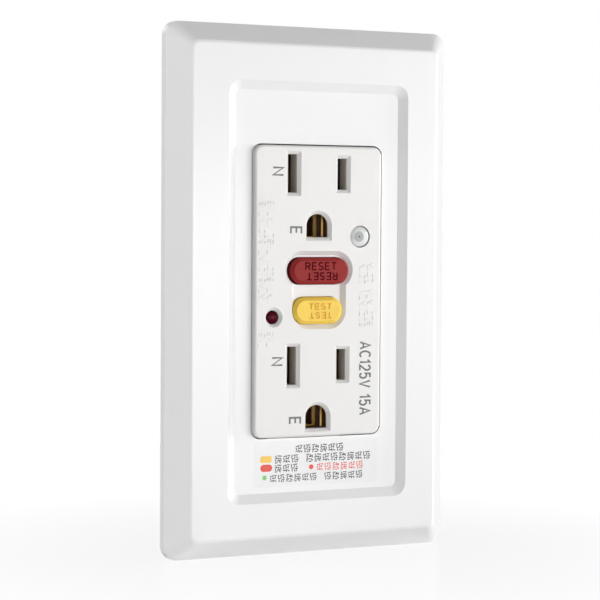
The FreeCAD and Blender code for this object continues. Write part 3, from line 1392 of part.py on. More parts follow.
def terminal_hardware():
    """Side screws and clamp plates of the four wire terminals."""
    depth = -1 * s.terminal_depth
    clamps = []
    for side, label in ((1, "live_terminal_screws"), (-1, "neutral_terminal_screws")):
        screws = []
        for z in (s.bay_rise, -1 * s.bay_rise):
            near = s.terminal_x + s.wire_gap
            head_start = near + s.clamp_sheet
            tip = s.bay_inner + 0.5
            shank_length = head_start - tip + 0.2
            if side > 0:
                shank = rod(tip, depth, z, s.machine_thread / 2, shank_length, "right")
                head = rod(head_start, depth, z, s.terminal_head / 2, s.terminal_head_height, "right")
                slot_x = head_start + s.terminal_head_height
                slot = block(slot_x - 1.1, slot_x + 0.1, depth - 4, depth + 4, z - 0.5, z + 0.5)
                plate_low, plate_high = near, near + s.clamp_sheet
            else:
                shank = rod(-1 * (tip + shank_length), depth, z, s.machine_thread / 2, shank_length, "right")
                head_x = -1 * (head_start + s.terminal_head_height)
                head = rod(head_x, depth, z, s.terminal_head / 2, s.terminal_head_height, "right")
                slot = block(head_x - 0.1, head_x + 1.1, depth - 4, depth + 4, z - 0.5, z + 0.5)
                plate_low, plate_high = -1 * (near + s.clamp_sheet), -1 * near
            screws.append(cut(joined(shank, head), slot))
            plate = block(plate_low, plate_high, depth - 4.0, depth + 3.4, z - 5.4, z + 5.4)
            hole = rod(plate_low - 0.1, depth, z, SCREW_HOLE, s.clamp_sheet + 0.2, "right")
            clamps.append(cut(plate, hole))
        keep(group(*screws), label)
    keep(group(*clamps), "terminal_clamps")


def contacts_and_arms():
    fixed = []
    for side in SIDES:
        back = CONTACT_PLANE - s.contact_height
        disc = rod(side * s.arm_x, back, s.contact_rise, s.contact_radius, s.contact_height, "out")
        fixed.append(disc)
    keep(group(*fixed), "fixed_contacts")
    for side, name in ((1, "live"), (-1, "neutral")):
        x = side * s.arm_x
        disc = rod(x, ARM_FRONT, s.contact_rise, s.contact_radius, s.contact_height, "out")
        keep(disc, f"{name}_arm_contact")
        body = new_body(f"{name}_arm")
        sk = sketch(body, ARM_FRONT)
        root, tip = -1 * s.arm_root_drop, s.arm_tip_rise
        wide, slim = s.bus_width / 2 + 0.2, s.bus_width / 2
        half = [(wide, root), (wide, root + 5), (slim, root + 8), (slim, tip - 0.8), (slim - 0.8, tip)]
        polygon(sk, [(x + u, v) for u, v in half + [(-1 * u, v) for u, v in half[::-1]]])
        rectangle(sk, 1.0, 8.0, 0, x, root + 6.5)
        pad(body, sk, s.arm_sheet, backward=True)
        # post through the transformers and the foot that carries the arm
        post = new_body(f"{name}_post")
        sk = sketch(post, ARM_FRONT)
        foot_low, foot_high = -1 * s.bay_rise - s.post_height / 2, root - 0.06
        far = s.arm_x + s.bus_width / 2
        across, up = side * (far + s.post_gap) / 2, (foot_high + foot_low) / 2
        rectangle(sk, far - s.post_gap, foot_high - foot_low, 0, across, up)
        pad(post, sk, s.terminal_sheet, backward=True)
        sk = sketch(post, ARM_FRONT)
        u = side * (s.post_gap + s.post_width / 2)
        rectangle(sk, s.post_width, s.post_height, 0, u, -1 * s.bay_rise)
        pad(post, sk, ARM_FRONT - POST_END, backward=True)


def contact_lifter():
    """Slide that carries the latch and lifts both contact arms."""
    body = new_body("contact_lifter")
    front = LIFTER_FRONT
    sk = sketch(body, front)
    rectangle(sk, s.lifter_width, s.lifter_height, 0.6, 0, s.reset_rise)
    pad(body, sk, s.lifter_depth, backward=True)
    back = front - s.lifter_depth
    sk = sketch(body, back + 0.1)
    for side in SIDES:
        x = side * (s.latch_width / 2 + s.slide_gap + s.rail_wall / 2)
        rectangle(sk, s.rail_wall, s.lifter_height, 0, x, s.reset_rise)
    pad(body, sk, 0.1 + s.latch_sheet + 0.6, backward=True)
    sk = sketch(body, front)
    circle(sk, 0, s.reset_rise, s.pin_radius + 0.25)
    pocket(body, sk, s.lifter_depth)
    # hollows in both wings
    sk = sketch(body, back)
    for side in SIDES:
        rectangle(sk, 2.6, s.lifter_height - 2.0, 0.3, side * (s.lifter_width / 2 - 2.3), s.reset_rise)
    pocket(body, sk, s.lifter_depth - 1.0, forward=True)


def latch_plate():
    body = new_body("latch_plate")
    low, high = s.latch_bottom, s.latch_top
    sk = sketch(body, LATCH_FRONT)
    rectangle(sk, s.latch_width, high - low, 0.7, 0, (high + low) / 2)
    hole = s.pin_radius + 0.05
    stadium(sk, 0, s.reset_rise + s.latch_travel / 2, 2 * hole + s.latch_travel, 2 * hole, upright=True)
    pad(body, sk, s.latch_sheet, backward=True)


def solenoid():
    out = -1 * s.coil_depth
    low = s.coil_start
    high = low + s.coil_length
    core, bore, flange = s.bobbin_core, s.plunger_radius + 0.1, s.bobbin_flange
    sheet_ = s.bobbin_sheet
    body = new_body("coil_bobbin")
    points = [
        (bore, low),
        (flange, low),
        (flange, low + sheet_),
        (core, low + sheet_),
        (core, high - sheet_),
        (flange, high - sheet_),
        (flange, high),
        (bore, high),
    ]
    turned_upright(body, points, out)
    body = new_body("coil_winding")
    inner = core + 0.02
    radius, start, end = s.coil_radius, low + sheet_ + 0.02, high - sheet_ - 0.02
    rim = [(radius - 0.3, start), (radius, start + 0.5), (radius, end - 0.5), (radius - 0.3, end)]
    turned_upright(body, [(inner, start)] + rim + [(inner, end)], out)
    # bracket round the bobbin
    steel = s.bracket_sheet
    reach = flange + 0.2
    plate_back = out - reach
    bottom = block(-1 * reach, reach, plate_back, out + reach - 0.6, low - steel, low)
    top = block(-1 * reach, reach, plate_back, out + reach - 0.6, high, high + steel)
    back = block(-1 * reach, reach, plate_back, plate_back + steel, low - steel, high + steel)
    hole = rod(0, out, low - steel - 0.1, bore, s.coil_length + 2 * steel + 0.2, "up")
    relief = rod(0, out, low, flange + 0.05, s.coil_length, "up")
    keep(cut(joined(bottom, top, back), hole, relief), "coil_bracket")
    # plunger with its head above the return spring
    body = new_body("plunger")
    tip = s.latch_top + s.plunger_reach
    head = high + steel + s.return_spring_length
    radius = s.plunger_radius
    points = [
        (0, tip),
        (radius - 0.5, tip),
        (radius - 0.5, tip + 1.2),
        (radius, tip + 1.6),
        (radius, head),
        (s.return_spring_radius + 0.5, head),
        (s.return_spring_radius + 0.5, head + 0.8),
        (0, head + 0.8),
    ]
    turned_upright(body, points, out)


def circuit_board():
    body = new_body("circuit_board")
    wide, slim = (s.body_width - 2 * s.body_wall - 2 * s.inner_gap) / 2, s.bay_inner + 1.9
    tall = s.tray_height / 2 - 0.2
    step = s.bay_rise - s.wire_entry_length / 2 - 1.6
    sk = sketch(body, BOARD_FRONT)
    outline(
        sk,
        [
            (-1 * slim, -1 * tall, 0.6),
            (slim, -1 * tall, 0.6),
            (slim, -1 * step, 0),
            (wide, -1 * step, 0.6),
            (wide, step, 0.6),
            (slim, step, 0),
            (slim, tall, 0.6),
            (-1 * slim, tall, 0.6),
            (-1 * slim, step, 0),
            (-1 * wide, step, 0.6),
            (-1 * wide, -1 * step, 0.6),
            (-1 * slim, -1 * step, 0),
        ],
    )
    for side in SIDES:
        u = side * (s.post_gap + s.post_width / 2)
        rectangle(sk, s.post_width + 0.2, s.post_height + 0.2, 0, u, -1 * s.bay_rise)
        u = side * (s.bay_inner + 0.1 + s.terminal_sheet / 2)
        rectangle(sk, s.terminal_sheet + 0.2, 3.2, 0, u, -1 * s.bay_rise)
        circle(sk, POWER_LEADS_X + side * s.lead_pitch / 2, s.lead_turn_height, s.lead_radius + 0.1)
        u = -1 * s.fault_lamp_x + side * s.lead_pitch / 2
        circle(sk, u, -1 * s.fault_lamp_drop, s.lead_radius + 0.1)
    rectangle(sk, s.test_leaf_sheet + 0.2, 2.2, 0, s.test_leg_x + s.test_leaf_sheet / 2, -1 * s.test_drop)
    for k in SIDES:
        circle(sk, VARISTOR_X - s.varistor_thickness / 2 + 0.6, VARISTOR_Z + k * 2.5, 0.4)
    for k in range(3):
        for x in RESISTOR_LEGS:
            circle(sk, x, RESISTOR_Z + k * s.resistor_pitch, 0.3)
    pad(body, sk, s.board_thickness, backward=True)


def board_parts():
    """Transformers and the components on the circuit board."""
    z = -1 * s.bay_rise
    back = BOARD_FRONT
    outer, inner = s.core_outer + s.case_wall, s.core_inner - s.case_wall
    body = new_body("transformer_case")
    front = back + s.case_height
    points = [
        (inner, back),
        (outer, back),
        (outer, front - 0.6),
        (outer - 0.6, front),
        (inner, front),
        (inner, front - s.case_wall),
        (outer - s.case_wall, front - s.case_wall),
        (outer - s.case_wall, back + 0.4),
        (inner + s.case_wall, back + 0.4),
        (inner + s.case_wall, front - s.case_wall - 0.2),
        (inner, front - s.case_wall - 0.2),
    ]
    turned(body, points[:5], 0, z)
    sk = sketch(body, back)
    circle(sk, 0, z, s.core_outer)
    circle(sk, 0, z, s.core_inner)
    pocket(body, sk, s.case_height - s.case_wall, forward=True)
    cores = []
    for level in (0, 1):
        start = back + 0.2 + level * (s.core_height + 0.3)
        ring = rod(0, start, z, s.core_outer - 0.05, s.core_height, "out")
        bore = rod(0, start - 0.1, z, s.core_inner + 0.05, s.core_height + 0.2, "out")
        cores.append(cut(ring, bore))
    keep(group(*cores), "transformer_cores")

    radius, thickness = s.varistor_radius, s.varistor_thickness
    left = VARISTOR_X - thickness / 2
    disc = rod(left, back + radius + 0.8, VARISTOR_Z, radius, thickness, "right")
    legs = [rod(left + 0.6, POST_END, VARISTOR_Z + k * 2.5, 0.3, back - POST_END + 3.4, "out") for k in SIDES]
    keep(joined(disc, *legs), "varistor")
    radius, height = s.capacitor_radius, s.capacitor_height
    can = rod(15.4, back + 0.05, -3.2, radius, height, "out")
    ring = cut(
        rod(15.4, back + 0.9, -3.2, radius + 0.5, 0.7, "out"),
        rod(15.4, back + 0.8, -3.2, radius - 0.25, 0.9, "out"),
    )
    keep(cut(can, ring), "storage_capacitor")
    side = s.film_capacitor_side
    keep(block(-18.6, -18.6 + side, back, back + 5.4, 2.0, 2.0 + side), "film_capacitor")
    made = []
    for k in range(3):
        z_of = RESISTOR_Z + k * s.resistor_pitch
        barrel = rod(12.6, back + 0.9, z_of, s.resistor_radius, s.resistor_length, "right")
        lead = rod(11.7, back + 0.9, z_of, 0.25, s.resistor_length + 1.8, "right")
        legs = [rod(x_of, POST_END, z_of, 0.2, back + 0.9 - POST_END, "out") for x_of in RESISTOR_LEGS]
        made.append(joined(barrel, lead, *legs))
    keep(group(*made), "resistors")
    chip = block(-3.0, 3.0, BOARD_BACK - 1.5, BOARD_BACK, -2.2, 2.8)
    keep(chip, "control_chip")


def rear_housing():
    body = new_body("rear_housing")
    total = s.body_depth + STRAP_FRONT
    sk = sketch(body, STRAP_FRONT)
    rectangle(sk, s.body_width, s.body_height, s.body_corner)
    pad(body, sk, total, backward=True)
    back = -1 * s.body_depth
    dress(body, "Chamfer", edges(body, lambda e: at_out(e, back)), s.body_edge)
    inner_width, inner_height = s.body_width - 2 * s.body_wall, s.body_height - 2 * s.body_wall
    sk = sketch(body, STRAP_FRONT)
    rectangle(sk, inner_width, inner_height, 1.0)
    pocket(body, sk, total - s.body_wall)
    sk = sketch(body, STRAP_FRONT)
    rectangle(sk, s.ear_width + 2 * s.inner_gap, s.body_height + 4, 0)
    pocket(body, sk, s.strap_thickness)
    floor = back + s.body_wall - 0.2
    sk = sketch(body, floor)
    for side in SIDES:
        for level in SIDES:
            circle(sk, side * s.body_screw_x, level * s.body_screw_rise, s.boss_radius)
    pad(body, sk, -6.1 - floor)
    sk = sketch(body, floor)
    for side in SIDES:
        for level in SIDES:
            circle(sk, side * 9.6, level * 28.6, s.standoff_radius)
    pad(body, sk, BOARD_BACK - floor)

    # terminal bays with their walls
    half = s.bay_height / 2
    for side in SIDES:
        for level in SIDES:
            z = level * s.bay_rise
            near = s.bay_inner - s.bay_wall
            far = s.body_width / 2 - 0.5
            sk = sketch(body, -1 * (s.bay_start - s.bay_wall))
            rectangle(sk, far - near, s.bay_height + 2 * s.bay_wall, 0, side * (far + near) / 2, z)
            pad(body, sk, s.bay_depth + 2 * s.bay_wall, backward=True)
            sk = sketch(body, side * (s.body_width / 2 + 0.1), "YZ_Plane")
            rectangle(sk, s.bay_depth, s.bay_height, 0.8, s.bay_start + s.bay_depth / 2, z)
            pocket(body, sk, s.body_width / 2 + 0.1 - s.bay_inner, forward=side < 0)
    # wire entries at the back, each in its own sleeve
    entry_x = s.terminal_x + s.wire_gap / 2 + 0.3
    bay_back = -1 * (s.bay_start + s.bay_depth)
    sk = sketch(body, floor)
    length, width = s.wire_entry_length, s.wire_entry_width
    for side in SIDES:
        for level in SIDES:
            stadium(sk, side * entry_x, level * s.bay_rise, length + 1.8, width + 1.8, upright=True)
    pad(body, sk, bay_back - 0.5 - floor)
    sk = sketch(body, back)
    for side in SIDES:
        for level in SIDES:
            stadium(sk, side * entry_x, level * s.bay_rise, length, width, upright=True)
    pocket(body, sk, s.body_depth + bay_back + 0.1, forward=True)
    # passages for the terminals' strips
    sk = sketch(body, 0.1)
    for side in SIDES:
        x = side * (s.bay_inner - s.bay_wall / 2)
        rectangle(sk, s.bay_wall + 0.4, 4.6, 0, x, s.bay_rise)
    pocket(body, sk, s.tray_depth)
    sk = sketch(body, 0.1)
    for side in SIDES:
        x = side * (s.bay_inner + 0.1 + s.terminal_sheet / 2)
        rectangle(sk, s.terminal_sheet + 0.3, 3.4, 0, x, -1 * s.bay_rise)
    pocket(body, sk, 0.2 - bay_back + s.bay_wall)
    # screw holes with sunk heads
    sk = sketch(body, back)
    for side in SIDES:
        for level in SIDES:
            u, v = side * s.body_screw_x, level * s.body_screw_rise
            circle(sk, u, v, s.body_screw_thread / 2 + s.thread_room)
    pocket(body, sk, s.body_depth - 6.0, forward=True)
    sk = sketch(body, back)
    for side in SIDES:
        for level in SIDES:
            u, v = side * s.body_screw_x, level * s.body_screw_rise
            circle(sk, u, v, s.body_screw_head / 2 + s.thread_room)
    pocket(body, sk, s.body_screw_sink, forward=True)


def housing_screws():
    back = -1 * s.body_depth + s.body_screw_sink
    made = []
    for side in SIDES:
        for level in SIDES:
            x, z = side * s.body_screw_x, level * s.body_screw_rise
            head = rod(x, back - 1.7, z, s.body_screw_head / 2, 1.7, "out")
            shank = rod(x, back - 0.1, z, s.body_screw_thread / 2, STRAP_FRONT + 0.6 - back, "out")
            slots = [
                block(x - 1.4, x + 1.4, back - 1.8, back - 0.7, z - 0.35, z + 0.35),
                block(x - 0.35, x + 0.35, back - 1.8, back - 0.7, z - 1.4, z + 1.4),
            ]
            made.append(cut(joined(head, shank), *slots))
    keep(group(*made), "housing_screws")


wall_plate()
plate_frame()
plate_screws()
mounting_strap()
box_screws()
screw_retainers()
face_cover()
buttons()
reset_pin()
springs()
test_contact()
lamps()
earth_clip("upper_earth_clip", EARTH_ROWS[0])
earth_clip("lower_earth_clip", EARTH_ROWS[1])
earth_rivets()
earth_screw()
contact_tray()
bus("live_bus", 1)
bus("neutral_bus", -1)
contacts_and_arms()
contact_lifter()
latch_plate()
solenoid()
line_terminal("live_line_terminal", 1)
line_terminal("neutral_line_terminal", -1)
terminal_hardware()
circuit_board()
board_parts()
rear_housing()
housing_screws()
document.recompute()

for made in document.Objects:
    if "Invalid" in made.State or "Error" in made.State:
        raise ValueError(f"{made.Label} failed: {made.State}")
for made in parts:
    if made.Shape.isNull() or not made.Shape.isValid():
        raise ValueError(f"{made.Label} has no valid shape")

os.makedirs("parts", exist_ok=True)
for made in parts:
    made.Shape.exportStep(f"parts/{made.Label}.step")
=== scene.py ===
"""Residual current device socket: finishes, marks, lamps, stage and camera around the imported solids."""

import math

import bmesh
import bpy
from bpy.props import FloatProperty, FloatVectorProperty, PointerProperty, StringProperty
from bpy.types import Operator, Panel, PropertyGroup
from mathutils import Matrix, Vector


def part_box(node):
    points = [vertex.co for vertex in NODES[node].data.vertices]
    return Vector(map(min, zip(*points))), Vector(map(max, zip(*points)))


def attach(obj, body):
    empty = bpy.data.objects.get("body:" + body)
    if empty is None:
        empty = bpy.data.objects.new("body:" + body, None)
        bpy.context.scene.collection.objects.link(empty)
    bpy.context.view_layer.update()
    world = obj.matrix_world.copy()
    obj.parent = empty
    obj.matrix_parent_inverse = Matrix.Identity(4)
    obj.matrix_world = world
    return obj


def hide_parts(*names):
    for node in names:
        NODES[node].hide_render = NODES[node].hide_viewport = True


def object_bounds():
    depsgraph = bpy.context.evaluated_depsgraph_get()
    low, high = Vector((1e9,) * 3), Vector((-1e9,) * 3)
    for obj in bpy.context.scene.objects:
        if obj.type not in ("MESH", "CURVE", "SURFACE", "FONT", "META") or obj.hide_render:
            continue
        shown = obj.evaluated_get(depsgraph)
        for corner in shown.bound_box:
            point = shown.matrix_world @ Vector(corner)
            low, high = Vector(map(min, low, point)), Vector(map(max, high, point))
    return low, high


bl_info = {
    "name": "Residual Current Socket",
    "version": (1, 0, 0),
    "blender": (4, 5, 0),
    "location": "View3D > Sidebar > Socket",
    "description": "Finishes, marks and stage for a duplex socket with a residual current trip",
    "category": "Object",
}

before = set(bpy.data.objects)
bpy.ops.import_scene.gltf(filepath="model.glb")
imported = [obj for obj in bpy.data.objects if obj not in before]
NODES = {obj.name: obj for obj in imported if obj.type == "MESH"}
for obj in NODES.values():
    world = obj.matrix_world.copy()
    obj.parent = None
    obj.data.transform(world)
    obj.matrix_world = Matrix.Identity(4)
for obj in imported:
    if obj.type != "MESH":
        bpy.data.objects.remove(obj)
CAD_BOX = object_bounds()
MM = 0.001
FACE_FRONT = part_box("face_cover")[0].y
RESET_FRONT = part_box("reset_button")[0].y
TEST_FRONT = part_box("test_button")[0].y
RECESS_FLOOR = -5.9 * MM
LAYER = 3e-7  # between strokes that cross, so that no two lie in one plane


# ---------------------------------------------------------------- sizes and colours

def colour(label, words, value):
    """A colour that the sidebar shows."""
    return FloatVectorProperty(
        name=label, description=words, default=value, size=3, min=0, max=1, subtype="COLOR")


def length(label, words, value):
    """A length in metres."""
    return FloatProperty(name=label, description=words, default=value, unit="LENGTH", precision=5)


def power(label, words, value):
    """A lamp's power in watts."""
    return FloatProperty(name=label, description=words, default=value, unit="POWER")


class SocketFinishes(PropertyGroup):
    plate: colour("Plate", "Gloss white of the wall plate", (0.875, 0.872, 0.876))
    face: colour("Face", "Satin white of the outlet face", (0.82, 0.81, 0.795))
    reset: colour("Reset button", "Red of the reset button", (0.315, 0.030, 0.030))
    test: colour("Test button", "Yellow of the test button", (0.95, 0.65, 0.095))
    ink: colour("Ink", "Grey ink of the printed letters", (0.17, 0.17, 0.175))
    housing: colour("Rear housing", "Grey of the body behind the wall", (0.16, 0.165, 0.17))
    brass: colour("Brass", "Bare brass of the contacts", (0.80, 0.55, 0.22))
    steel: colour("Steel", "Zinc plated steel of strap and screws", (0.60, 0.61, 0.62))


class SocketMarks(PropertyGroup):
    word_height: length("Button letters", "Height of the letters on the reset button", 1.9 * MM)
    word_bar: length("Button strokes", "Width of the strokes sunk into the buttons", 0.32 * MM)
    engraving: length("Engraving", "Depth of the letters in the buttons", 0.14 * MM)
    letter_bar: length("Printed strokes", "Width of the printed strokes on the face", 0.44 * MM)
    ink_depth: length("Ink depth", "Thickness of printed ink", 0.02 * MM)
    relief_depth: length("Relief depth", "Height of the moulded lines on the face", 0.14 * MM)
    reset_word: StringProperty(name="Reset word", description="Word on the reset button", default="RESET")
    test_word: StringProperty(name="Test word", description="Word on the test button", default="TEST")
    rating: StringProperty(
        name="Rating", description="Figures beside the lower outlet", default="AC125V 15A")


class SocketStage(PropertyGroup):
    key_power: power("Key lamp", "Power of the lamp on the right", 4.5)
    front_power: power("Front lamp", "Power of the lamp ahead", 3.5)
    glint_power: power("Glint lamp", "Power of the lamp that the gloss shows", 0.90)
    side_power: power("Side lamp", "Power of the lamp square to the side", 5.0)
    rim_power: power("Rim lamp", "Power of the lamp behind on the left", 4.2)
    back_power: power("Back lamp", "Power of the lamp behind the wall", 1.0)
    lamp_reach: length("Lamp reach", "Distance of the lamps from the socket", 0.9)
    room_light: FloatProperty(
        name="Room light", description="Strength of the even light all round", default=0.10)
    lens: FloatProperty(name="Lens", description="Focal length of the camera", default=122.4, unit="CAMERA")
    floor_size: length("Floor", "Width of the pale floor", 6.0)


# ---------------------------------------------------------------- node helpers

class Finish:
    """A procedural material with its main shader and the patterns that feed it."""

    def __init__(self, name, base, roughness, **sockets):
        self.material = bpy.data.materials.new(name)
        self.material.use_nodes = True
        self.nodes = self.material.node_tree.nodes
        self.links = self.material.node_tree.links
        self.shader = self.nodes["Principled BSDF"]
        self.shader.inputs["Base Color"].default_value = (*base, 1)
        self.shader.inputs["Roughness"].default_value = roughness
        for socket, value in sockets.items():
            self.shader.inputs[socket.replace("_", " ")].default_value = value
        self.base = base
        self.place = self.nodes.new("ShaderNodeTexCoord").outputs["Object"]

    def mapped(self, scale=(1, 1, 1), shift=(0, 0, 0), turn=(0, 0, 0)):
        """Coordinates scaled by a factor each way, shifted and turned."""
        mapping = self.nodes.new("ShaderNodeMapping")
        mapping.inputs["Scale"].default_value = scale
        mapping.inputs["Location"].default_value = shift
        mapping.inputs["Rotation"].default_value = turn
        self.links.new(self.place, mapping.inputs["Vector"])
        return mapping.outputs["Vector"]

    def noise(self, scale, detail=3.0, stretch=None):
        """Clouds, or streaks where a stretch is given."""
        texture = self.nodes.new("ShaderNodeTexNoise")
        texture.inputs["Scale"].default_value = scale
        texture.inputs["Detail"].default_value = detail
        self.links.new(self.mapped(stretch) if stretch else self.place, texture.inputs["Vector"])
        return texture.outputs["Fac"]

    def cells(self, scale):
        """Rounded cells."""
        texture = self.nodes.new("ShaderNodeTexVoronoi")
        texture.inputs["Scale"].default_value = scale
        self.links.new(self.place, texture.inputs["Vector"])
        return texture.outputs["Distance"]

    def waves(self, scale, axis, bend=0.0):
        """Even bands across an axis."""
        texture = self.nodes.new("ShaderNodeTexWave")
        texture.bands_direction = axis
        texture.inputs["Scale"].default_value = scale
        texture.inputs["Distortion"].default_value = bend
        self.links.new(self.place, texture.inputs["Vector"])
        return texture.outputs["Fac"]

    def axes(self):
        """The three coordinates as values."""
        split = self.nodes.new("ShaderNodeSeparateXYZ")
        self.links.new(self.place, split.inputs["Vector"])
        return [split.outputs[letter] for letter in "XYZ"]

    def distance(self, vector):
        """How far a point lies from where its coordinates are zero."""
        node = self.nodes.new("ShaderNodeVectorMath")
        node.operation = "LENGTH"
        self.links.new(vector, node.inputs[0])
        return node.outputs["Value"]

    def span(self, value, low, high, to_low=0.0, to_high=1.0):
        """A value mapped from one range to another."""
        node = self.nodes.new("ShaderNodeMapRange")
        for socket, number in (("From Min", low), ("From Max", high), ("To Min", to_low), ("To Max", to_high)):
            node.inputs[socket].default_value = number
        self.links.new(value, node.inputs["Value"])
        return node.outputs["Result"]

    def sum(self, operation, *values):
        """A small sum over values that patterns or coordinates give."""
        node = self.nodes.new("ShaderNodeMath")
        node.operation = operation
        for socket, value in zip(node.inputs, values):
            if isinstance(value, (int, float)):
                socket.default_value = value
            else:
                self.links.new(value, socket)
        return node.outputs["Value"]

    def within(self, value, middle, half):
        """1 where a value lies within half a width of a middle."""
        return self.sum("COMPARE", value, middle, half)

    def both(self, one, other):
        """1 where two masks are both 1."""
        return self.sum("MULTIPLY", one, other)

    def steps(self, value, stops, blend="LINEAR"):
        """A colour ramp over a value from 0 to 1."""
        ramp = self.nodes.new("ShaderNodeValToRGB")
        ramp.color_ramp.interpolation = blend
        bars = ramp.color_ramp.elements
        while len(bars) < len(stops):
            bars.new(0.5)
        for bar, (at, tone) in zip(bars, stops):
            bar.position = at
            bar.color = (*tone, 1)
        self.links.new(value, ramp.inputs["Fac"])
        return ramp.outputs["Color"]

    def paint(self, pattern):
        """Base colour from a pattern."""
        self.links.new(pattern, self.shader.inputs["Base Color"])

    def where(self, mask, tone):
        """Another tone, or another pattern's colour, where a value is 1."""
        mix = self.nodes.new("ShaderNodeMix")
        mix.data_type = "RGBA"
        base = self.shader.inputs["Base Color"]
        self.links.new(mask, mix.inputs["Factor"])
        self.links.new(base.links[0].from_socket, mix.inputs[6])
        if isinstance(tone, tuple):
            mix.inputs[7].default_value = (*tone, 1)
        else:
            self.links.new(tone, mix.inputs[7])
        self.links.new(mix.outputs[2], base)

    def tint(self, value, darker, lighter):
        """Base colour varied a little round its own tone."""
        dark, light = ([min(1, part * share) for part in self.base] for share in (darker, lighter))
        self.paint(self.steps(value, ((0.25, dark), (0.75, light))))

    def sheen_map(self, value, low, high):
        """Roughness that follows a pattern."""
        self.links.new(self.span(value, 0.3, 0.7, low, high), self.shader.inputs["Roughness"])

    def bump(self, value, strength, distance):
        """Unevenness of the surface, on top of what is there."""
        node = self.nodes.new("ShaderNodeBump")
        node.inputs["Strength"].default_value = strength
        node.inputs["Distance"].default_value = distance
        self.links.new(value, node.inputs["Height"])
        before = self.shader.inputs["Normal"].links
        if before:
            self.links.new(before[0].from_socket, node.inputs["Normal"])
        self.links.new(node.outputs["Normal"], self.shader.inputs["Normal"])

    def wear(self, *nodes):
        """Put this finish on CAD nodes."""
        for name in nodes:
            materials = NODES[name].data.materials
            materials.clear()
            materials.append(self.material)


def dimmed(tone, shares):
    """A tone with its red, green and blue brought down to shares of themselves."""
    return tuple(part * share for part, share in zip(tone, shares))


# ---------------------------------------------------------------- moulded plastics

def gloss_white(name, tone):
    """Polished moulding: a faint orange peel under a clear gloss."""
    finish = Finish(name, tone, 0.30, Coat_Weight=0.10, Coat_Roughness=0.12, IOR=1.5)
    finish.tint(finish.noise(9, 1), 0.992, 1.003)
    finish.sheen_map(finish.noise(340, 2), 0.285, 0.315)
    finish.bump(finish.noise(380, 2), 0.03, 0.0001)
    return finish


def satin_white(name, tone, grain=0.10):
    """Spark-eroded moulding: fine grain that softens the light."""
    finish = Finish(name, tone, 0.40, IOR=1.5)
    finish.tint(finish.noise(22, 2), 0.988, 1.004)
    finish.sheen_map(finish.noise(700, 4), 0.34, 0.46)
    finish.bump(finish.noise(5200, 3), grain, 0.00005)
    return finish


OUTLET_SIDE = 14 * MM  # half the width that the slots and earth holes take up
OUTLET_MIDDLE, OUTLET_HALF = 20.7 * MM, 11.1 * MM  # their heights, alike above and below the buttons
SLOT_DEPTH = 5 * MM  # from the face's front to where the painted shade in the slots is darkest
SLOT_PAINTED_SHADES = (  # painted shade over that depth, after the face's own tone
    (0.22, (0.70, 0.65, 0.60)), (0.80, (0.55, 0.50, 0.44)),
    (0.86, (0.012, 0.009, 0.006)), (1.0, (0.010, 0.008, 0.006)),
)
FACE_SIDE, FACE_TOP = 16.45 * MM, 33.38 * MM  # just outside the half sizes of the face
FLANGE_DEPTH = 3.9 * MM  # just ahead of the flange behind the plate's opening
# painted shade on the flange: the darkest slot tone
FLANGE_SHADE = SLOT_PAINTED_SHADES[-1][1]


def shaded_openings(finish, tone):
    """Paint shade into a cover's tone: falling off with depth inside its slots and earth holes, clear of the
    well, and dark on its flange.
    """
    x, y, z = finish.axes()
    high = finish.sum("ABSOLUTE", z)
    outlets = finish.both(
        finish.within(x, 0, OUTLET_SIDE), finish.within(high, OUTLET_MIDDLE, OUTLET_HALF))
    shades = ((0.0, tone), (0.15, tone), *SLOT_PAINTED_SHADES)
    finish.where(outlets, finish.steps(finish.span(y, FACE_FRONT, FACE_FRONT + SLOT_DEPTH), shades))
    beside = finish.sum("SUBTRACT", finish.sum("ABSOLUTE", x), FACE_SIDE)
    above = finish.sum("SUBTRACT", high, FACE_TOP)
    outside = finish.sum("GREATER_THAN", finish.sum("MAXIMUM", beside, above), 0)
    behind = finish.sum("GREATER_THAN", y, FACE_FRONT + FLANGE_DEPTH)
    finish.where(finish.both(outside, behind), FLANGE_SHADE)
    return finish


OPENING_SIDE, OPENING_TOP = 17.2 * MM, 33.9 * MM  # half sizes that take in the plate's opening
OPENING_EDGE = RECESS_FLOOR + 0.04 * MM  # just behind the floor of the recess
# painted shade on the walls of the plate's opening, lighter where the face's tabs lie
GAP_SHADE, GAP_TAB_SHADE = (0.02, 0.015, 0.01), (0.45, 0.36, 0.31)
TABS = ((-8.1 * MM, 3.5 * MM), (1.3 * MM, 5.6 * MM))  # middle and half width of the two tabs' places


def shaded_gap(finish):
    """Paint dark shade on the walls inside a plate's opening, and a lighter shade where the face's tabs lie
    below it.
    """
    x, y, z = finish.axes()
    opening = finish.both(finish.within(x, 0, OPENING_SIDE), finish.within(z, 0, OPENING_TOP))
    walls = finish.both(opening, finish.sum("GREATER_THAN", y, OPENING_EDGE))
    finish.where(walls, GAP_SHADE)
    row = finish.both(walls, finish.sum("LESS_THAN", z, 0))
    for middle, half in TABS:
        finish.where(finish.both(row, finish.within(x, middle, half)), GAP_TAB_SHADE)
    return finish


# share of the plate's tone kept on that slope: painted shade
SLOPE_SHADE_SHARE = 0.82
SLOPE_PLACE = ((-21.95 * MM, 0.45 * MM), (-6.6 * MM, 0.59 * MM), (0, 46 * MM))  # middle and half on X, Y and Z


def shaded_slope(finish):
    """Paint a little shade on the outer part of the recess's left slope, which faces the lamps."""
    x, y, z = (finish.within(value, *place) for value, place in zip(finish.axes(), SLOPE_PLACE))
    finish.where(finish.both(finish.both(x, z), y), dimmed(finish.base, (SLOPE_SHADE_SHARE,) * 3))
    return finish


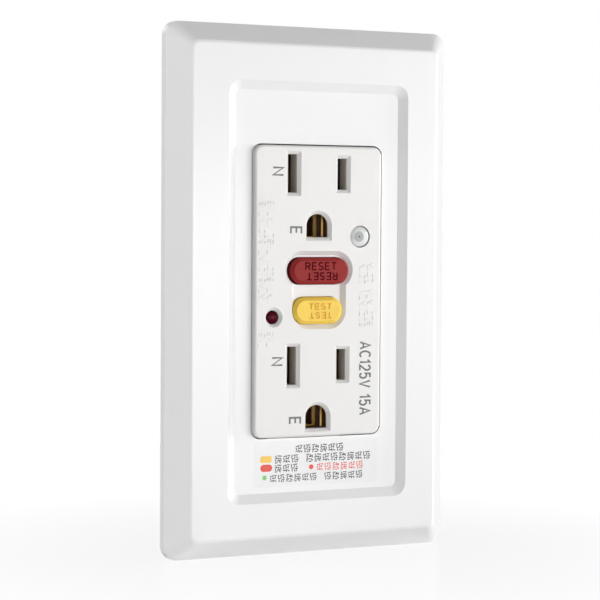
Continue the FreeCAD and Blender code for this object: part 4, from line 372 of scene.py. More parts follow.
def moulded(name, tone, roughness, grain=0.15, shine=0.5):
    """Coloured moulding with grain and slight flow marks."""
    finish = Finish(name, tone, roughness, IOR=1.49, Specular_IOR_Level=shine)
    finish.tint(finish.noise(160, 4, (1, 1, 0.4)), 0.93, 1.05)
    finish.sheen_map(finish.noise(900, 3), roughness - 0.06, roughness + 0.08)
    finish.bump(finish.noise(4200, 2), grain, 0.00005)
    return finish


def lens(name, x, z, radius, stops, shine):
    """Moulded lens whose colour runs in rings round an axis, showing its inside and any painted shade at its
    rim.
    """
    finish = Finish(name, stops[-1][1], 0.12, Specular_IOR_Level=shine)
    from_axis = finish.distance(finish.mapped((1, 0, 1), (-x, 0, -z)))
    finish.paint(finish.steps(finish.span(from_axis, 0, radius), stops))
    finish.sheen_map(finish.noise(900, 2), 0.09, 0.15)
    finish.bump(finish.noise(800, 2), 0.03, 0.0001)
    return finish


# ---------------------------------------------------------------- metals

def metal(name, tone, roughness, stretch=(1, 1, 1), brushed=0.10, tarnish=0.90):
    """Rolled or plated metal: fine streaks along the sheet and a cloudy tone."""
    finish = Finish(name, tone, roughness, Metallic=1.0)
    finish.tint(finish.noise(190, 5), tarnish, 1.05)
    finish.sheen_map(finish.noise(1500, 4, stretch), roughness - 0.08, roughness + 0.12)
    finish.bump(finish.noise(3800, 3, stretch), brushed, 0.00004)
    return finish


LEAF_FRONT, LEAF_BACK = -6.2 * MM, 5.8 * MM  # on Y
# painted shade in the folds of the leaves
FOLD_SHADE = (0.10, 0.035, 0.006)
BLACK, WHITE = (0, 0, 0), (1, 1, 1)
LEAF_FOLDS = (  # along the leaf from its front: 1 in a fold, where painted shade lies, 0 where it shines
    (0.0, WHITE), (0.125, WHITE), (0.135, BLACK), (0.175, BLACK), (0.185, WHITE), (0.40, WHITE),
    (0.42, BLACK), (0.51, BLACK), (0.58, WHITE), (0.82, WHITE), (0.87, BLACK),
)
LEAF_SWELLS = (  # the leaf's height along it, in shares of the deepest bend
    (0.0, BLACK), (0.12, BLACK), (0.185, (0.6, 0.6, 0.6)), (0.20, BLACK),
    (0.39, BLACK), (0.53, WHITE), (0.60, BLACK), (1, BLACK),
)
LEAF_BEND = 2.6 * MM  # how far the deepest bend seems to swell


def bent_leaves(name, tone):
    """Brass leaves, bright along two of their bends, with painted shade in the folds between."""
    finish = metal(name, tone, 0.42, (1, 1, 0.2), 0.10, 0.95)
    finish.shader.inputs["Metallic"].default_value = 0.1
    along = finish.span(finish.axes()[1], LEAF_FRONT, LEAF_BACK)
    finish.where(finish.steps(along, LEAF_FOLDS), FOLD_SHADE)
    finish.bump(finish.steps(along, LEAF_SWELLS), 1.0, LEAF_BEND)
    return finish


def enamelled(name, tone):
    """Thin enamel on a screw, with the metal's unevenness under it."""
    finish = Finish(name, tone, 0.32, Metallic=0.35, Coat_Weight=0.6, Coat_Roughness=0.1)
    finish.tint(finish.noise(500, 4), 0.8, 1.15)
    finish.sheen_map(finish.noise(900, 3), 0.25, 0.42)
    finish.bump(finish.noise(2600, 2), 0.2, 0.00004)
    return finish


def wound_wire(name, tone):
    """Enamelled copper in close turns."""
    finish = Finish(name, tone, 0.28, Metallic=0.9, Coat_Weight=0.5, Coat_Roughness=0.08)
    turns = finish.waves(1250, "Z", 0.25)
    finish.tint(turns, 0.72, 1.1)
    finish.sheen_map(finish.noise(900, 3), 0.22, 0.36)
    finish.bump(turns, 0.6, 0.00008)
    return finish


# ---------------------------------------------------------------- circuit parts

def laminate(name):
    """Woven glass board under a green mask, with paler tracks."""
    mask, weave, track = (0.02, 0.13, 0.05), (0.018, 0.115, 0.045), (0.05, 0.24, 0.10)
    finish = Finish(name, mask, 0.35, Coat_Weight=0.3)
    tracks = finish.nodes.new("ShaderNodeTexBrick")
    tracks.inputs["Scale"].default_value = 240
    tracks.inputs["Mortar Size"].default_value = 0.05
    for socket, tone in (("Color1", mask), ("Color2", weave), ("Mortar", track)):
        tracks.inputs[socket].default_value = (*tone, 1)
    finish.links.new(finish.mapped(turn=(math.radians(90), 0, 0)), tracks.inputs["Vector"])
    finish.paint(tracks.outputs["Color"])
    finish.sheen_map(finish.noise(1200, 2), 0.28, 0.42)
    for axis in "XZ":
        finish.bump(finish.waves(900, axis), 0.12, 0.00004)
    return finish


def dipped(name, tone):
    """Dipped epoxy: glossy, uneven skin."""
    finish = Finish(name, tone, 0.22, Coat_Weight=0.4, Coat_Roughness=0.08)
    finish.tint(finish.noise(240, 3), 0.9, 1.08)
    finish.sheen_map(finish.noise(500, 3), 0.18, 0.3)
    finish.bump(finish.noise(520, 3), 0.25, 0.00012)
    return finish


def banded(name, middle, half):
    """Resistor lacquer with four colour bands along X."""
    body, brown, black = (0.62, 0.43, 0.24), (0.16, 0.05, 0.02), (0.01, 0.01, 0.01)
    orange, gold = (0.70, 0.12, 0.02), (0.55, 0.38, 0.08)
    bands = (
        (0.0, body), (0.16, brown), (0.26, body), (0.36, black), (0.46, body),
        (0.56, orange), (0.66, body), (0.80, gold), (0.90, body),
    )
    finish = Finish(name, body, 0.3, Coat_Weight=0.3)
    along = finish.span(finish.axes()[0], middle - half, middle + half)
    finish.paint(finish.steps(along, bands, "CONSTANT"))
    finish.sheen_map(finish.noise(900, 2), 0.24, 0.38)
    finish.bump(finish.noise(900, 3), 0.15, 0.00006)
    return finish


def pressed_fibre(name, tone):
    """Vulcanised fibre: short random fibres in a dull sheet."""
    finish = Finish(name, tone, 0.6)
    finish.tint(finish.noise(900, 5, (1, 0.3, 1)), 0.75, 1.2)
    finish.sheen_map(finish.noise(1500, 3), 0.5, 0.7)
    finish.bump(finish.noise(3200, 4, (1, 0.3, 1)), 0.35, 0.00006)
    return finish


def sintered(name, tone):
    """Pressed and fired powder: dark, dull and pitted."""
    finish = Finish(name, tone, 0.55, Metallic=0.1)
    finish.tint(finish.noise(900, 4), 0.8, 1.2)
    finish.sheen_map(finish.cells(1400), 0.5, 0.62)
    finish.bump(finish.cells(2600), 0.3, 0.00005)
    return finish


# ---------------------------------------------------------------- mesh helpers

def mesh_from(name, build):
    """A mesh that a function fills, its faces turned outward."""
    mesh = bpy.data.meshes.new(name)
    bm = bmesh.new()
    build(bm)
    bmesh.ops.recalc_face_normals(bm, faces=bm.faces)
    bm.to_mesh(mesh)
    bm.free()
    return mesh


def stand(name, mesh):
    """An object for a mesh, in the scene."""
    piece = bpy.data.objects.new(name, mesh)
    bpy.context.scene.collection.objects.link(piece)
    return piece


def piece_from(name, build, material, body):
    """A piece whose mesh a function fills, riding a body."""
    piece = stand(name, mesh_from(name, build))
    piece.data.materials.append(material)
    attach(piece, body)


def stroke(bm, centre, wide, high, out, depth, round_by=0.35, sides=3):
    """A raised or printed bar with rounded corners, its front towards the room."""
    r = min(wide, high) * round_by
    rim = []
    for cx, cz, start in ((1, 1, 0), (-1, 1, 90), (-1, -1, 180), (1, -1, 270)):
        for k in range(sides + 1):
            a = math.radians(start + 90 * k / sides)
            x = centre[0] + cx * (wide / 2 - r) + r * math.cos(a)
            z = centre[1] + cz * (high / 2 - r) + r * math.sin(a)
            rim.append((x, z))
    front = [bm.verts.new((x, out - depth, z)) for x, z in rim]
    back = [bm.verts.new((x, out, z)) for x, z in rim]
    bm.faces.new(front)
    bm.faces.new(back)
    count = len(rim)
    for k in range(count):
        bm.faces.new((front[k], front[(k + 1) % count], back[(k + 1) % count], back[k]))


def bow(cx, cz, rx, rz, start, end, steps=8):
    """Points along part of an ellipse, between two angles in degrees."""
    turns = [math.radians(start + (end - start) * k / steps) for k in range(steps + 1)]
    return [(cx + rx * math.cos(a), cz + rz * math.sin(a)) for a in turns]


LETTERS = {
    "A": (0.70, [(0, 0), (0.35, 1), (0.70, 0)], [(0.13, 0.33), (0.57, 0.33)]),
    "C": (0.64, bow(0.36, 0.5, 0.36, 0.5, 48, 312, 14)),
    "E": (0.54, [(0.54, 1), (0, 1), (0, 0), (0.54, 0)], [(0, 0.52), (0.48, 0.52)]),
    "N": (0.66, [(0, 0), (0, 1), (0.66, 0), (0.66, 1)]),
    "R": (0.58, [(0, 0), (0, 1), *bow(0.30, 0.75, 0.25, 0.25, 90, -90), (0, 0.5)], [(0.28, 0.5), (0.58, 0)]),
    "S": (0.58, [*bow(0.29, 0.75, 0.27, 0.25, 28, 270), *bow(0.29, 0.25, 0.29, 0.25, 80, -152)]),
    "T": (0.62, [(0, 1), (0.62, 1)], [(0.31, 1), (0.31, 0)]),
    "V": (0.68, [(0, 1), (0.34, 0), (0.68, 1)]),
    "1": (0.28, [(0, 0.74), (0.25, 1), (0.25, 0)]),
    "2": (0.56, [*bow(0.28, 0.71, 0.27, 0.29, 162, -38), (0, 0), (0.56, 0)]),
    "5": (0.56, [(0.50, 1), (0.08, 1), (0.04, 0.55), *bow(0.27, 0.33, 0.28, 0.33, 118, -150)]),
    " ": (0.24,),
}


MITRE_LIMIT = 0.5  # a sharper bend is cut short
LETTER_GAP = 0.30  # between letters, on the scale of their widths


def ribbon(bm, line, width, front, back):
    """A closed bar of even width along a line of points, mitred at its bends."""
    points = [Vector(p) for k, p in enumerate(line) if not k or math.dist(p, line[k - 1]) > 1e-6]
    rings = []
    for k, point in enumerate(points):
        before = (point - points[k - 1]).normalized() if k else None
        after = (points[k + 1] - point).normalized() if k + 1 < len(points) else before
        along = ((before or after) + after).normalized()
        reach = width / 2 / max(MITRE_LIMIT, along.dot(after))
        across = Vector((-along.y, along.x)) * reach
        one, other = point + across, point - across
        ring = ((one, front), (other, front), (other, back), (one, back))
        rings.append([bm.verts.new((p.x, y, p.y)) for p, y in ring])
    for one, other in zip(rings, rings[1:]):
        for k in range(4):
            bm.faces.new((one[k], one[(k + 1) % 4], other[(k + 1) % 4], other[k]))
    bm.faces.new(rings[0])
    bm.faces.new(rings[-1])


def word(bm, text, place, wide, high, weight, turn, front, back):
    """Letters built from bars: wide by high round a place, turned clockwise as seen from the room."""
    total = sum(LETTERS[letter][0] for letter in text) + LETTER_GAP * (len(text) - 1)
    across, up = (wide - weight) / total if wide > weight else 1, high - weight
    c, s = math.cos(math.radians(turn)), math.sin(math.radians(turn))
    start, layer = -total / 2, 0
    for letter in text:
        width, *lines = LETTERS[letter]
        for line in lines:
            flat = [((start + u) * across, (v - 0.5) * up) for u, v in line]
            turned = [(place[0] + u * c + v * s, place[1] - u * s + v * c) for u, v in flat]
            ribbon(bm, turned, weight, front - layer * LAYER, back)
            layer += 1
        start += width + LETTER_GAP


def welded(mesh, gap=1e-6):
    """The same mesh with its loose triangles joined."""
    bm = bmesh.new()
    bm.from_mesh(mesh)
    bmesh.ops.remove_doubles(bm, verts=bm.verts, dist=gap)
    bm.to_mesh(mesh)
    bm.free()
    return mesh


def carved(piece, tool):
    """The mesh of a piece with a tool cut out of it."""
    sink = piece.modifiers.new("letters", "BOOLEAN")
    sink.operation, sink.solver, sink.use_self = "DIFFERENCE", "EXACT", True
    sink.object, sink.material_mode = tool, "TRANSFER"
    bpy.context.view_layer.update()
    mesh = bpy.data.meshes.new_from_object(piece.evaluated_get(bpy.context.evaluated_depsgraph_get()))
    piece.modifiers.clear()
    return mesh


def engraved(node, name, build, ink, body):
    """A copy of a moulding with bars sunk into its front, their floors in a darker tone that is painted shade
    in the grooves.
    """
    piece = stand(name, welded(NODES[node].data.copy()))
    tool = stand("cutter", mesh_from("cutter", build))
    tool.data.materials.append(ink)
    mesh = piece.data = carved(piece, tool)
    bpy.data.objects.remove(tool)
    if "custom_normal" in mesh.attributes:
        mesh.attributes.remove(mesh.attributes["custom_normal"])
    for face in mesh.polygons:
        face.use_smooth = True
    mesh.set_sharp_from_angle(angle=math.radians(32))
    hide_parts(node)
    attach(piece, body)


# ---------------------------------------------------------------- operators

PALE, GREY, DARK = (0.76, 0.78, 0.77), (0.40, 0.43, 0.42), (0.03, 0.03, 0.03)
POWER_RINGS = (  # from the rings' middle to the dome's rim: the lamp's inside, then a greyer last stop that is painted shade at the rim
    (0.0, DARK), (0.05, DARK), (0.11, GREY), (0.42, (0.46, 0.48, 0.47)), (0.52, PALE),
    (0.74, (0.76, 0.77, 0.76)), (1.0, (0.50, 0.52, 0.52)),
)
CORE_RED, RIM_RED = (0.26, 0.02, 0.035), (0.060, 0.0025, 0.010)
FAULT_RINGS = ((0, CORE_RED), (0.30, RIM_RED), (1, RIM_RED))
POWER_LENS = (10.4 * MM, 12.6 * MM, 2.6 * MM)  # the rings' middle across and up, a little left of the dome's axis, which deepens the painted shade on the rim's right, and their radius
FAULT_LENS = (-11.1 * MM, -5.9 * MM, 1.5 * MM)


class SOCKET_OT_finish_mouldings(Operator):
    """Give the plate, face, buttons, lenses and housings their moulded finishes"""

    bl_idname = "socket.finish_mouldings"
    bl_label = "Finish the mouldings"

    def execute(self, context):
        tones = context.scene.socket_finishes
        shaded_gap(shaded_slope(gloss_white("gloss_white", tones.plate))).wear("wall_plate")
        shaded_openings(satin_white("face_satin", tones.face), tones.face).wear("face_cover")
        satin_white("frame_satin", dimmed(tones.face, (0.86,) * 3), 0.2).wear("plate_frame")
        moulded("reset_red", tones.reset, 0.42, shine=0.10).wear("reset_button")
        moulded("test_yellow", tones.test, 0.42, shine=0.3).wear("test_button")
        moulded("housing_grey", tones.housing, 0.46, grain=0.35).wear("rear_housing")
        moulded("tray_ivory", (0.60, 0.56, 0.46), 0.42).wear("contact_tray")
        moulded("lifter_black", (0.03, 0.03, 0.032), 0.38).wear("contact_lifter", "coil_bobbin")
        lens("power_clear", *POWER_LENS, POWER_RINGS, 0.12).wear("power_lamp")
        lens("fault_red", *FAULT_LENS, FAULT_RINGS, 0.02).wear("fault_lamp")
        return {"FINISHED"}


class SOCKET_OT_finish_metals(Operator):
    """Give strap, screws, contacts, springs and windings their metal finishes"""

    bl_idname = "socket.finish_metals"
    bl_label = "Finish the metals"

    def execute(self, context):
        tones = context.scene.socket_finishes
        metal("zinc_steel", tones.steel, 0.34, (1, 1, 0.12), 0.12).wear(
            "mounting_strap", "latch_plate", "coil_bracket", "earth_clamp", "terminal_clamps")
        metal("turned_steel", dimmed(tones.steel, (0.94,) * 3), 0.28, (1, 0.15, 1), 0.16).wear(
            "plate_screws", "box_screws", "reset_pin", "plunger", "earth_rivets", "housing_screws")
        metal("spring_steel", (0.42, 0.42, 0.43), 0.25, (1, 1, 1), 0.08).wear(
            "reset_spring", "test_spring", "plunger_spring")
        metal("bare_brass", tones.brass, 0.24, (1, 1, 0.2), 0.10, 0.82).wear(
            "test_contact", "live_bus", "neutral_bus", "live_post",
            "neutral_post", "live_line_terminal", "neutral_line_terminal", "live_terminal_screws")
        bent_leaves("leaf_brass", (1.0, 0.58, 0.10)).wear("upper_earth_clip", "lower_earth_clip")
        metal("silver_plate", (0.78, 0.77, 0.74), 0.26, (1, 1, 1), 0.08, 0.88).wear(
            "neutral_terminal_screws", "fixed_contacts", "live_arm_contact", "neutral_arm_contact",
            "power_lamp_leads", "fault_lamp_leads")
        metal("drawn_copper", (0.80, 0.36, 0.20), 0.25, (1, 1, 0.2), 0.10, 0.85).wear("live_arm", "neutral_arm")
        wound_wire("coil_copper", (0.62, 0.23, 0.10)).wear("coil_winding")
        enamelled("earth_green", (0.02, 0.22, 0.07)).wear("earth_screw")
        return {"FINISHED"}


class SOCKET_OT_finish_circuit(Operator):
    """Give the board and its components their finishes"""

    bl_idname = "socket.finish_circuit"
    bl_label = "Finish the circuit"

    def execute(self, context):
        laminate("board_green").wear("circuit_board")
        moulded("chip_black", (0.02, 0.02, 0.021), 0.5, 0.3).wear("transformer_case", "control_chip")
        dipped("sleeve_black", (0.03, 0.035, 0.05)).wear("storage_capacitor")
        dipped("varistor_blue", (0.02, 0.12, 0.40)).wear("varistor")
        dipped("film_yellow", (0.75, 0.48, 0.06)).wear("film_capacitor")
        low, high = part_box("resistors")
        banded("resistor_bands", (low.x + high.x) / 2, (high.x - low.x) * 0.33).wear("resistors")
        sintered("ferrite_grey", (0.035, 0.035, 0.038)).wear("transformer_cores")
        pressed_fibre("washer_fibre", (0.32, 0.10, 0.05)).wear("screw_retainers")
        return {"FINISHED"}


BUTTON_WORDS = {  # each word's middle across and up, turn in degrees, and width, in millimetres
    "reset": ((0.58, 5.80, 0, 8.15), (0.84, 3.51, 180, 8.0)),
    "test": ((0.30, -3.44, 0, 6.05), (0.38, -5.48, 180, 5.95)),
}
CUT_START = 0.2 * MM  # how far ahead of a button's front the cut begins


class SOCKET_OT_letter_buttons(Operator):
    """Sink the two words into each button, upright and upside down"""

    bl_idname = "socket.letter_buttons"
    bl_label = "Letter the buttons"

    def execute(self, context):
        marks = context.scene.socket_marks
        tones = context.scene.socket_finishes
        # darker tones of the buttons' own colours for the letter floors: painted shade in the grooves, passed
        # on as ink
        red = moulded("reset_letter", dimmed(tones.reset, (0.30, 0.18, 0.26)), 0.5, shine=0.0)
        amber = moulded("test_letter", dimmed(tones.test, (0.90, 0.72, 0.60)), 0.5, shine=0.1)
        for button, text, front, ink, share in (
            ("reset", marks.reset_word, RESET_FRONT, red, 1.0),
            ("test", marks.test_word, TEST_FRONT, amber, 0.83),
        ):
            def build(bm):
                for x, z, turn, wide in BUTTON_WORDS[button]:
                    word(bm, text, (x * MM, z * MM), wide * MM, marks.word_height * share, marks.word_bar,
                         turn, front - CUT_START, front + marks.engraving)
            engraved(button + "_button", button + "_lettered", build, ink.material, button)
        return {"FINISHED"}


FACE_MARKS = (  # name, text, middle across and up, length and height of the letters, in millimetres
    ("neutral_mark_upper", "N", -10.3, 27.4, 2.1, 3.0), ("neutral_mark_lower", "N", -10.3, -15.9, 2.1, 3.0),
    ("earth_mark_upper", "E", -5.7, 14.0, 1.85, 3.1), ("earth_mark_lower", "E", -5.7, -29.6, 1.85, 3.1),
    ("rating_figures", None, 12.3, -20.3, 17.2, 3.1),
)


class SOCKET_OT_print_face(Operator):
    """Print the outlet letters and the rating figures on the face"""

    bl_idname = "socket.print_face"
    bl_label = "Print the face"

    def execute(self, context):
        marks = context.scene.socket_marks
        ink = moulded("letter_grey", context.scene.socket_finishes.ink, 0.5, grain=0.05).material
        for name, text, x, z, wide, high in FACE_MARKS:
            def build(bm):
                word(bm, text or marks.rating, (x * MM, z * MM), wide * MM, high * MM, marks.letter_bar,
                     90, FACE_FRONT - marks.ink_depth, FACE_FRONT)
            piece_from(name, build, ink, "housing")
        return {"FINISHED"}


RELIEF_COLUMNS = (  # label, place across, top and bottom in millimetres, and the strokes left out
    ("left_outer", -14.2, 20.4, -3.2, (8, 13)), ("left_inner", -12.1, 20.6, -3.4, (5, 10, 15)),
    ("lamp_outer", -14.2, -9.4, -14.0, ()), ("lamp_inner", -12.1, -9.2, -14.2, (3,)),
    ("right_inner", 11.5, 6.2, -8.8, (4,)), ("right_outer", 13.5, 6.5, -8.5, (4,)),
)
RELIEF_STROKES = (  # plain strokes in a field that is 1 wide and 1 high
    ([(0, 0), (0, 1)], [(0, 0.95), (0.7, 0.95)], [(0, 0.1), (0.7, 0.1)]),
    ([(0, 1), (0.35, 0.1), (0.7, 1)],),
    ([(0, 0), (0, 1)], [(0.7, 0), (0.7, 1)]),
    ([(0.7, 1), (0, 1), (0, 0.5), (0.7, 0.5)], [(0.7, 0.1), (0, 0.1)]),
    ([(0, 1), (0.7, 0)], [(0.7, 0.9), (0.4, 0.5)]),
    ([(0, 1), (0.7, 1)], [(0.5, 0.8), (0.5, 0)]),
    ([(0, 0.9), (0, 0), (0.7, 0)],),
)
RELIEF_WIDE, RELIEF_HIGH, RELIEF_PITCH, RELIEF_BAR = 1.15 * MM, 1.5 * MM, 1.24 * MM, 0.2 * MM


class SOCKET_OT_mould_relief(Operator):
    """Raise the rows of plain strokes that stand for the moulded lines beside the outlets"""

    bl_idname = "socket.mould_relief"
    bl_label = "Mould the relief"

    def execute(self, context):
        top = FACE_FRONT - context.scene.socket_marks.relief_depth
        skin = NODES["face_cover"].data.materials[0]
        for label, x, high, low, gaps in RELIEF_COLUMNS:
            def build(bm):
                for k in range(int((high - low) * MM / RELIEF_PITCH)):
                    if k in gaps:
                        continue
                    z = high * MM - k * RELIEF_PITCH
                    lines = RELIEF_STROKES[(k * 5 + len(label)) % len(RELIEF_STROKES)]
                    for layer, line in enumerate(lines):
                        turned = [(x * MM + (v - 0.5) * RELIEF_HIGH, z - u * RELIEF_WIDE) for u, v in line]
                        ribbon(bm, turned, RELIEF_BAR, top - layer * LAYER, FACE_FRONT)
            piece_from("relief_" + label, build, skin, "housing")
        return {"FINISHED"}


LABEL_ROWS = (  # label, ink, height, size of a mark, each run's start and count, and pitch, in millimetres
    ("title", "ink", -36.3, 1.85, ((-4.7, 6),), 2.11),
    ("monthly", "ink", -38.5, 1.85, ((-10.0, 3), (-2.0, 8)), 2.13),
    ("restore", "ink", -40.6, 1.8, ((-10.0, 3),), 2.08),
    ("alarm", "red", -40.7, 1.75, ((0.7, 6),), 2.08),
    ("supply", "ink", -42.9, 1.75, ((-11.2, 6), (2.8, 5)), 2.05),
)
LABEL_SPOTS = (  # label, ink, middle, width and height in millimetres, and how round
    ("yellow", "yellow", (-12.2, -38.4), 2.9, 1.55, 0.3), ("reset", "red", (-12.1, -40.4), 3.0, 1.65, 0.5),
    ("alarm", "red", (-0.65, -40.6), 1.15, 1.15, 0.5), ("supply", "green", (-12.55, -42.6), 1.1, 1.1, 0.5),
)
LABEL_INKS = (
    ("ink", "label_black", (0.05, 0.05, 0.052), 0.5), ("red", "label_red", (0.80, 0.09, 0.06), 0.45),
    ("yellow", "label_yellow", (0.95, 0.62, 0.11), 0.45), ("green", "label_green", (0.21, 0.62, 0.16), 0.45),
)
LABEL_SHEET = ((0.7, -39.6), 31.6, 10.4)  # middle, width and height in millimetres
SHEET_DEPTH = 0.03 * MM
BAR_SHARE = 0.125  # a bar's width in shares of its mark's size
BARS = (  # the slanted bars of four marks, end to end, in shares of a mark's size
    (
        (-0.45, 0.40, -0.05, 0.46), (0.10, 0.46, 0.14, 0.10), (-0.28, 0.30, -0.34, -0.05),
        (-0.10, 0.18, 0.44, 0.24), (0.36, 0.38, 0.40, 0.02), (-0.46, -0.16, 0.02, -0.12),
        (0.12, -0.06, 0.46, -0.34), (-0.30, -0.28, -0.42, -0.48), (-0.12, -0.44, 0.30, -0.42),
    ),
    (
        (-0.40, 0.48, -0.44, 0.08), (-0.20, 0.40, 0.42, 0.46), (0.02, 0.28, -0.06, -0.02),
        (0.20, 0.24, 0.44, 0.02), (-0.46, -0.02, -0.12, -0.06), (0.04, -0.14, 0.46, -0.12),
        (-0.34, -0.18, -0.28, -0.48), (-0.06, -0.26, 0.12, -0.48), (0.34, -0.24, 0.26, -0.46),
    ),
    (
        (-0.46, 0.26, -0.16, 0.32), (-0.06, 0.48, -0.02, 0.16), (0.14, 0.42, 0.46, 0.40),
        (0.30, 0.28, 0.26, -0.04), (-0.42, 0.12, -0.30, -0.16), (-0.16, 0.02, 0.16, 0.06),
        (-0.46, -0.32, -0.06, -0.26), (0.00, -0.14, 0.04, -0.48), (0.16, -0.22, 0.46, -0.40),
    ),
    (
        (-0.36, 0.46, -0.24, 0.22), (-0.10, 0.44, 0.46, 0.38), (-0.46, 0.08, 0.00, 0.14),
        (0.12, 0.22, 0.08, -0.12), (0.28, 0.18, 0.42, -0.06), (-0.30, -0.04, -0.38, -0.30),
        (-0.18, -0.20, 0.46, -0.18), (-0.44, -0.46, -0.10, -0.40), (0.14, -0.30, 0.36, -0.48),
    ),
)


class SOCKET_OT_print_label(Operator):
    """Lay the clear label with its coloured spots and its rows of plain slanted bars"""

    bl_idname = "socket.print_label"
    bl_label = "Print the label"

    def execute(self, context):
        inks = {ink: moulded(name, tone, dull, grain=0.05).material for ink, name, tone, dull in LABEL_INKS}
        film = gloss_white("label_film", (0.84, 0.84, 0.84)).material
        (x, z), wide, high = LABEL_SHEET

        def sheet(bm):
            stroke(bm, (x * MM, z * MM), wide * MM, high * MM, RECESS_FLOOR, SHEET_DEPTH, 0.06)

        piece_from("label_sheet", sheet, film, "housing")
        back = RECESS_FLOOR - SHEET_DEPTH
        deep = context.scene.socket_marks.ink_depth
        self.rows(inks, back, deep)
        self.spots(inks, back, deep)
        return {"FINISHED"}

    def rows(self, inks, back, deep):
        """Marks of slanted bars that form no words."""
        for label, ink, z, size, runs, pitch in LABEL_ROWS:
            def build(bm):
                for start, count in runs:
                    for k in range(count):
                        x = start + pitch * (k + 0.42)
                        for layer, (x1, z1, x2, z2) in enumerate(BARS[(k * 3 + count) % len(BARS)]):
                            ends = [((x + a * size) * MM, (z + b * size) * MM) for a, b in ((x1, z1), (x2, z2))]
                            ribbon(bm, ends, BAR_SHARE * size * MM, back - deep - layer * LAYER, back)
            piece_from("label_" + label, build, inks[ink], "housing")

    def spots(self, inks, back, deep):
        """The coloured spots beside the rows."""
        for label, ink, (x, z), wide, high, round_by in LABEL_SPOTS:
            def spot(bm):
                stroke(bm, (x * MM, z * MM), wide * MM, high * MM, back, deep, round_by, 8)
            piece_from("label_spot_" + label, spot, inks[ink], "housing")


LAMPS = (  # label, its power, degrees to the right of straight ahead and up, width and height in metres
    ("key_lamp", "key_power", 48, -1.0, 0.42, 0.32),
    ("front_lamp", "front_power", 0, -1.5, 0.30, 0.15),
    ("glint_lamp", "glint_power", 22, -1.5, 0.15, 0.15),
    ("side_lamp", "side_power", 84, 4, 0.34, 0.42),
    ("rim_lamp", "rim_power", -100, 20, 0.30, 0.30),
    ("back_lamp", "back_power", 200, 30, 0.50, 0.40),
)
CAMERA_TURN = (-25.945, 2.196, 0.362)  # to the right of straight ahead, up, and round its own axis, in degrees
CAMERA_AIM = (-0.835, -2.255)  # what it looks at, across and up in the picture, in millimetres
CAMERA_REACH = 475.5 * MM
FLOOR_FLAT, FLOOR_BEND = 0.35, 0.3  # where the floor begins to rise and its bend, in shares of half its size
FLOOR_ARCS = 12
SHADOW_NEAR, SHADOW_FAR = 0.055, 0.12  # metres from the socket over which the floor goes over to plain white
NEAR_GLOW = 0.84


def direction(azimuth, rise):
    """A way out from the socket: an angle to the right of straight ahead and an angle up, in radians."""
    flat = math.cos(rise)
    return Vector((math.sin(azimuth) * flat, -math.cos(azimuth) * flat, math.sin(rise)))


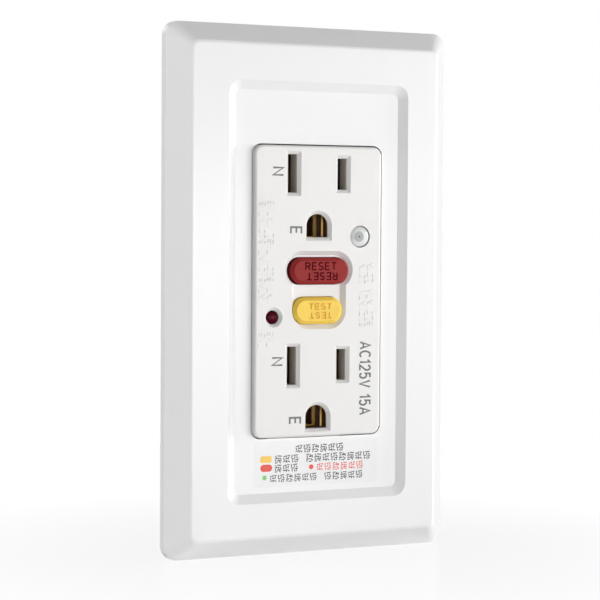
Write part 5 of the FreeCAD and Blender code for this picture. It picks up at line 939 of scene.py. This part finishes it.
class SOCKET_OT_set_stage(Operator):
    """Lay the pale floor, hang the soft lamps and set the camera"""

    bl_idname = "socket.set_stage"
    bl_label = "Set the stage"

    def execute(self, context):
        stage = context.scene.socket_stage
        self.floor(stage)
        self.room(context, stage)
        self.lamps(stage)
        self.camera(context, stage)
        context.scene.view_settings.view_transform = "Standard"
        return {"FINISHED"}

    def floor(self, stage):
        """A floor that rises in a bend behind the socket."""
        half = stage.floor_size / 2
        ground = CAD_BOX[0].z
        bend, start = half * FLOOR_BEND, half * FLOOR_FLAT
        profile = [(-half, ground), (start, ground)]
        for k in range(1, FLOOR_ARCS + 1):
            a = math.radians(90 * k / FLOOR_ARCS)
            profile.append((start + math.sin(a) * bend, ground + (1 - math.cos(a)) * bend))
        profile.append((start + bend, half))
        corners = [(x, y, z) for y, z in profile for x in (-half, half)]
        quads = [(2 * k, 2 * k + 1, 2 * k + 3, 2 * k + 2) for k in range(len(profile) - 1)]
        mesh = bpy.data.meshes.new("floor")
        mesh.from_pydata(corners, [], quads)
        for face in mesh.polygons:
            face.use_smooth = True
        mesh.materials.append(self.pale_ground())
        floor = stand("floor", mesh)

    def pale_ground(self):
        """A white that shows the shadow near the socket and goes over to plain white away from it."""
        finish = Finish("floor_white", (0.86, 0.86, 0.86), 0.16, IOR=1.45)
        finish.sheen_map(finish.noise(6, 3), 0.14, 0.20)
        finish.bump(finish.noise(30, 2), 0.01, 0.001)
        path = finish.nodes.new("ShaderNodeLightPath")
        seen = finish.sum("MAXIMUM", path.outputs["Is Camera Ray"], path.outputs["Is Transmission Ray"])
        share = finish.span(finish.distance(finish.place), SHADOW_NEAR, SHADOW_FAR, NEAR_GLOW, 1.0)
        glow = finish.nodes.new("ShaderNodeEmission")
        mix = finish.nodes.new("ShaderNodeMixShader")
        finish.links.new(finish.sum("MULTIPLY", seen, share), mix.inputs[0])
        finish.links.new(finish.shader.outputs[0], mix.inputs[1])
        finish.links.new(glow.outputs[0], mix.inputs[2])
        finish.links.new(mix.outputs[0], finish.nodes["Material Output"].inputs["Surface"])
        return finish.material

    def room(self, context, stage):
        """A white room that gives little light of its own."""
        world = bpy.data.worlds.new("room")
        context.scene.world = world
        world.use_nodes = True
        nodes, links = world.node_tree.nodes, world.node_tree.links
        path = nodes.new("ShaderNodeLightPath")
        clear = nodes.new("ShaderNodeMath")
        clear.operation = "MAXIMUM"
        links.new(path.outputs["Is Camera Ray"], clear.inputs[0])
        links.new(path.outputs["Is Transmission Ray"], clear.inputs[1])
        level = nodes.new("ShaderNodeMapRange")
        level.inputs["To Min"].default_value = stage.room_light
        level.inputs["To Max"].default_value = 1.0
        links.new(clear.outputs[0], level.inputs["Value"])
        links.new(level.outputs["Result"], nodes["Background"].inputs["Strength"])
        nodes["Background"].inputs["Color"].default_value = (1, 1, 1, 1)

    def lamps(self, stage):
        """Soft lamps round the socket, aimed at its middle."""
        for label, source, azimuth, rise, wide, high in LAMPS:
            way = direction(math.radians(azimuth), math.radians(rise))
            data = bpy.data.lights.new(label, "AREA")
            data.shape = "RECTANGLE"
            data.energy = getattr(stage, source)
            data.size, data.size_y = wide, high
            lamp = stand(label, data)
            lamp.location = way * stage.lamp_reach
            lamp.rotation_euler = way.to_track_quat("Z", "Y").to_euler()

    def camera(self, context, stage):
        """The camera, to the left of straight ahead and a little above."""
        azimuth, rise, roll = (math.radians(angle) for angle in CAMERA_TURN)
        back = direction(azimuth, rise)
        right = (-back).cross(Vector((0, 0, 1))).normalized()
        up = right.cross(-back)
        turned = math.cos(roll) * right + math.sin(roll) * up
        raised = -math.sin(roll) * right + math.cos(roll) * up
        aim = (turned * CAMERA_AIM[0] + raised * CAMERA_AIM[1]) * MM
        data = bpy.data.cameras.new("camera")
        data.lens = stage.lens
        data.sensor_width = 36
        data.clip_start, data.clip_end = 0.01, 50
        camera = stand("camera", data)
        camera.matrix_world = (
            Matrix.Translation(aim + back * CAMERA_REACH)
            @ Matrix((turned, raised, back)).transposed().to_4x4())
        context.scene.camera = camera


STEPS = (
    SOCKET_OT_finish_mouldings, SOCKET_OT_finish_metals, SOCKET_OT_finish_circuit, SOCKET_OT_letter_buttons,
    SOCKET_OT_print_face, SOCKET_OT_mould_relief, SOCKET_OT_print_label, SOCKET_OT_set_stage,
)
GROUPS = (("socket_finishes", SocketFinishes), ("socket_marks", SocketMarks), ("socket_stage", SocketStage))


class SOCKET_PT_build(Panel):
    """The socket's values and the steps that build it"""

    bl_label = "Residual current socket"
    bl_idname = "SOCKET_PT_build"
    bl_space_type = "VIEW_3D"
    bl_region_type = "UI"
    bl_category = "Socket"

    def draw(self, context):
        for group, kind in GROUPS:
            box = self.layout.box()
            for name in kind.__annotations__:
                box.prop(getattr(context.scene, group), name)
        for step in STEPS:
            self.layout.operator(step.bl_idname)


def register():
    for group, kind in GROUPS:
        bpy.utils.register_class(kind)
        setattr(bpy.types.Scene, group, PointerProperty(type=kind))
    for kind in (*STEPS, SOCKET_PT_build):
        bpy.utils.register_class(kind)


def unregister():
    for kind in (SOCKET_PT_build, *reversed(STEPS)):
        bpy.utils.unregister_class(kind)
    for group, kind in reversed(GROUPS):
        delattr(bpy.types.Scene, group)
        bpy.utils.unregister_class(kind)


def main():
    register()
    for step in STEPS:
        family, name = step.bl_idname.split(".")
        getattr(getattr(bpy.ops, family), name)()


if __name__ == "__main__":
    main()
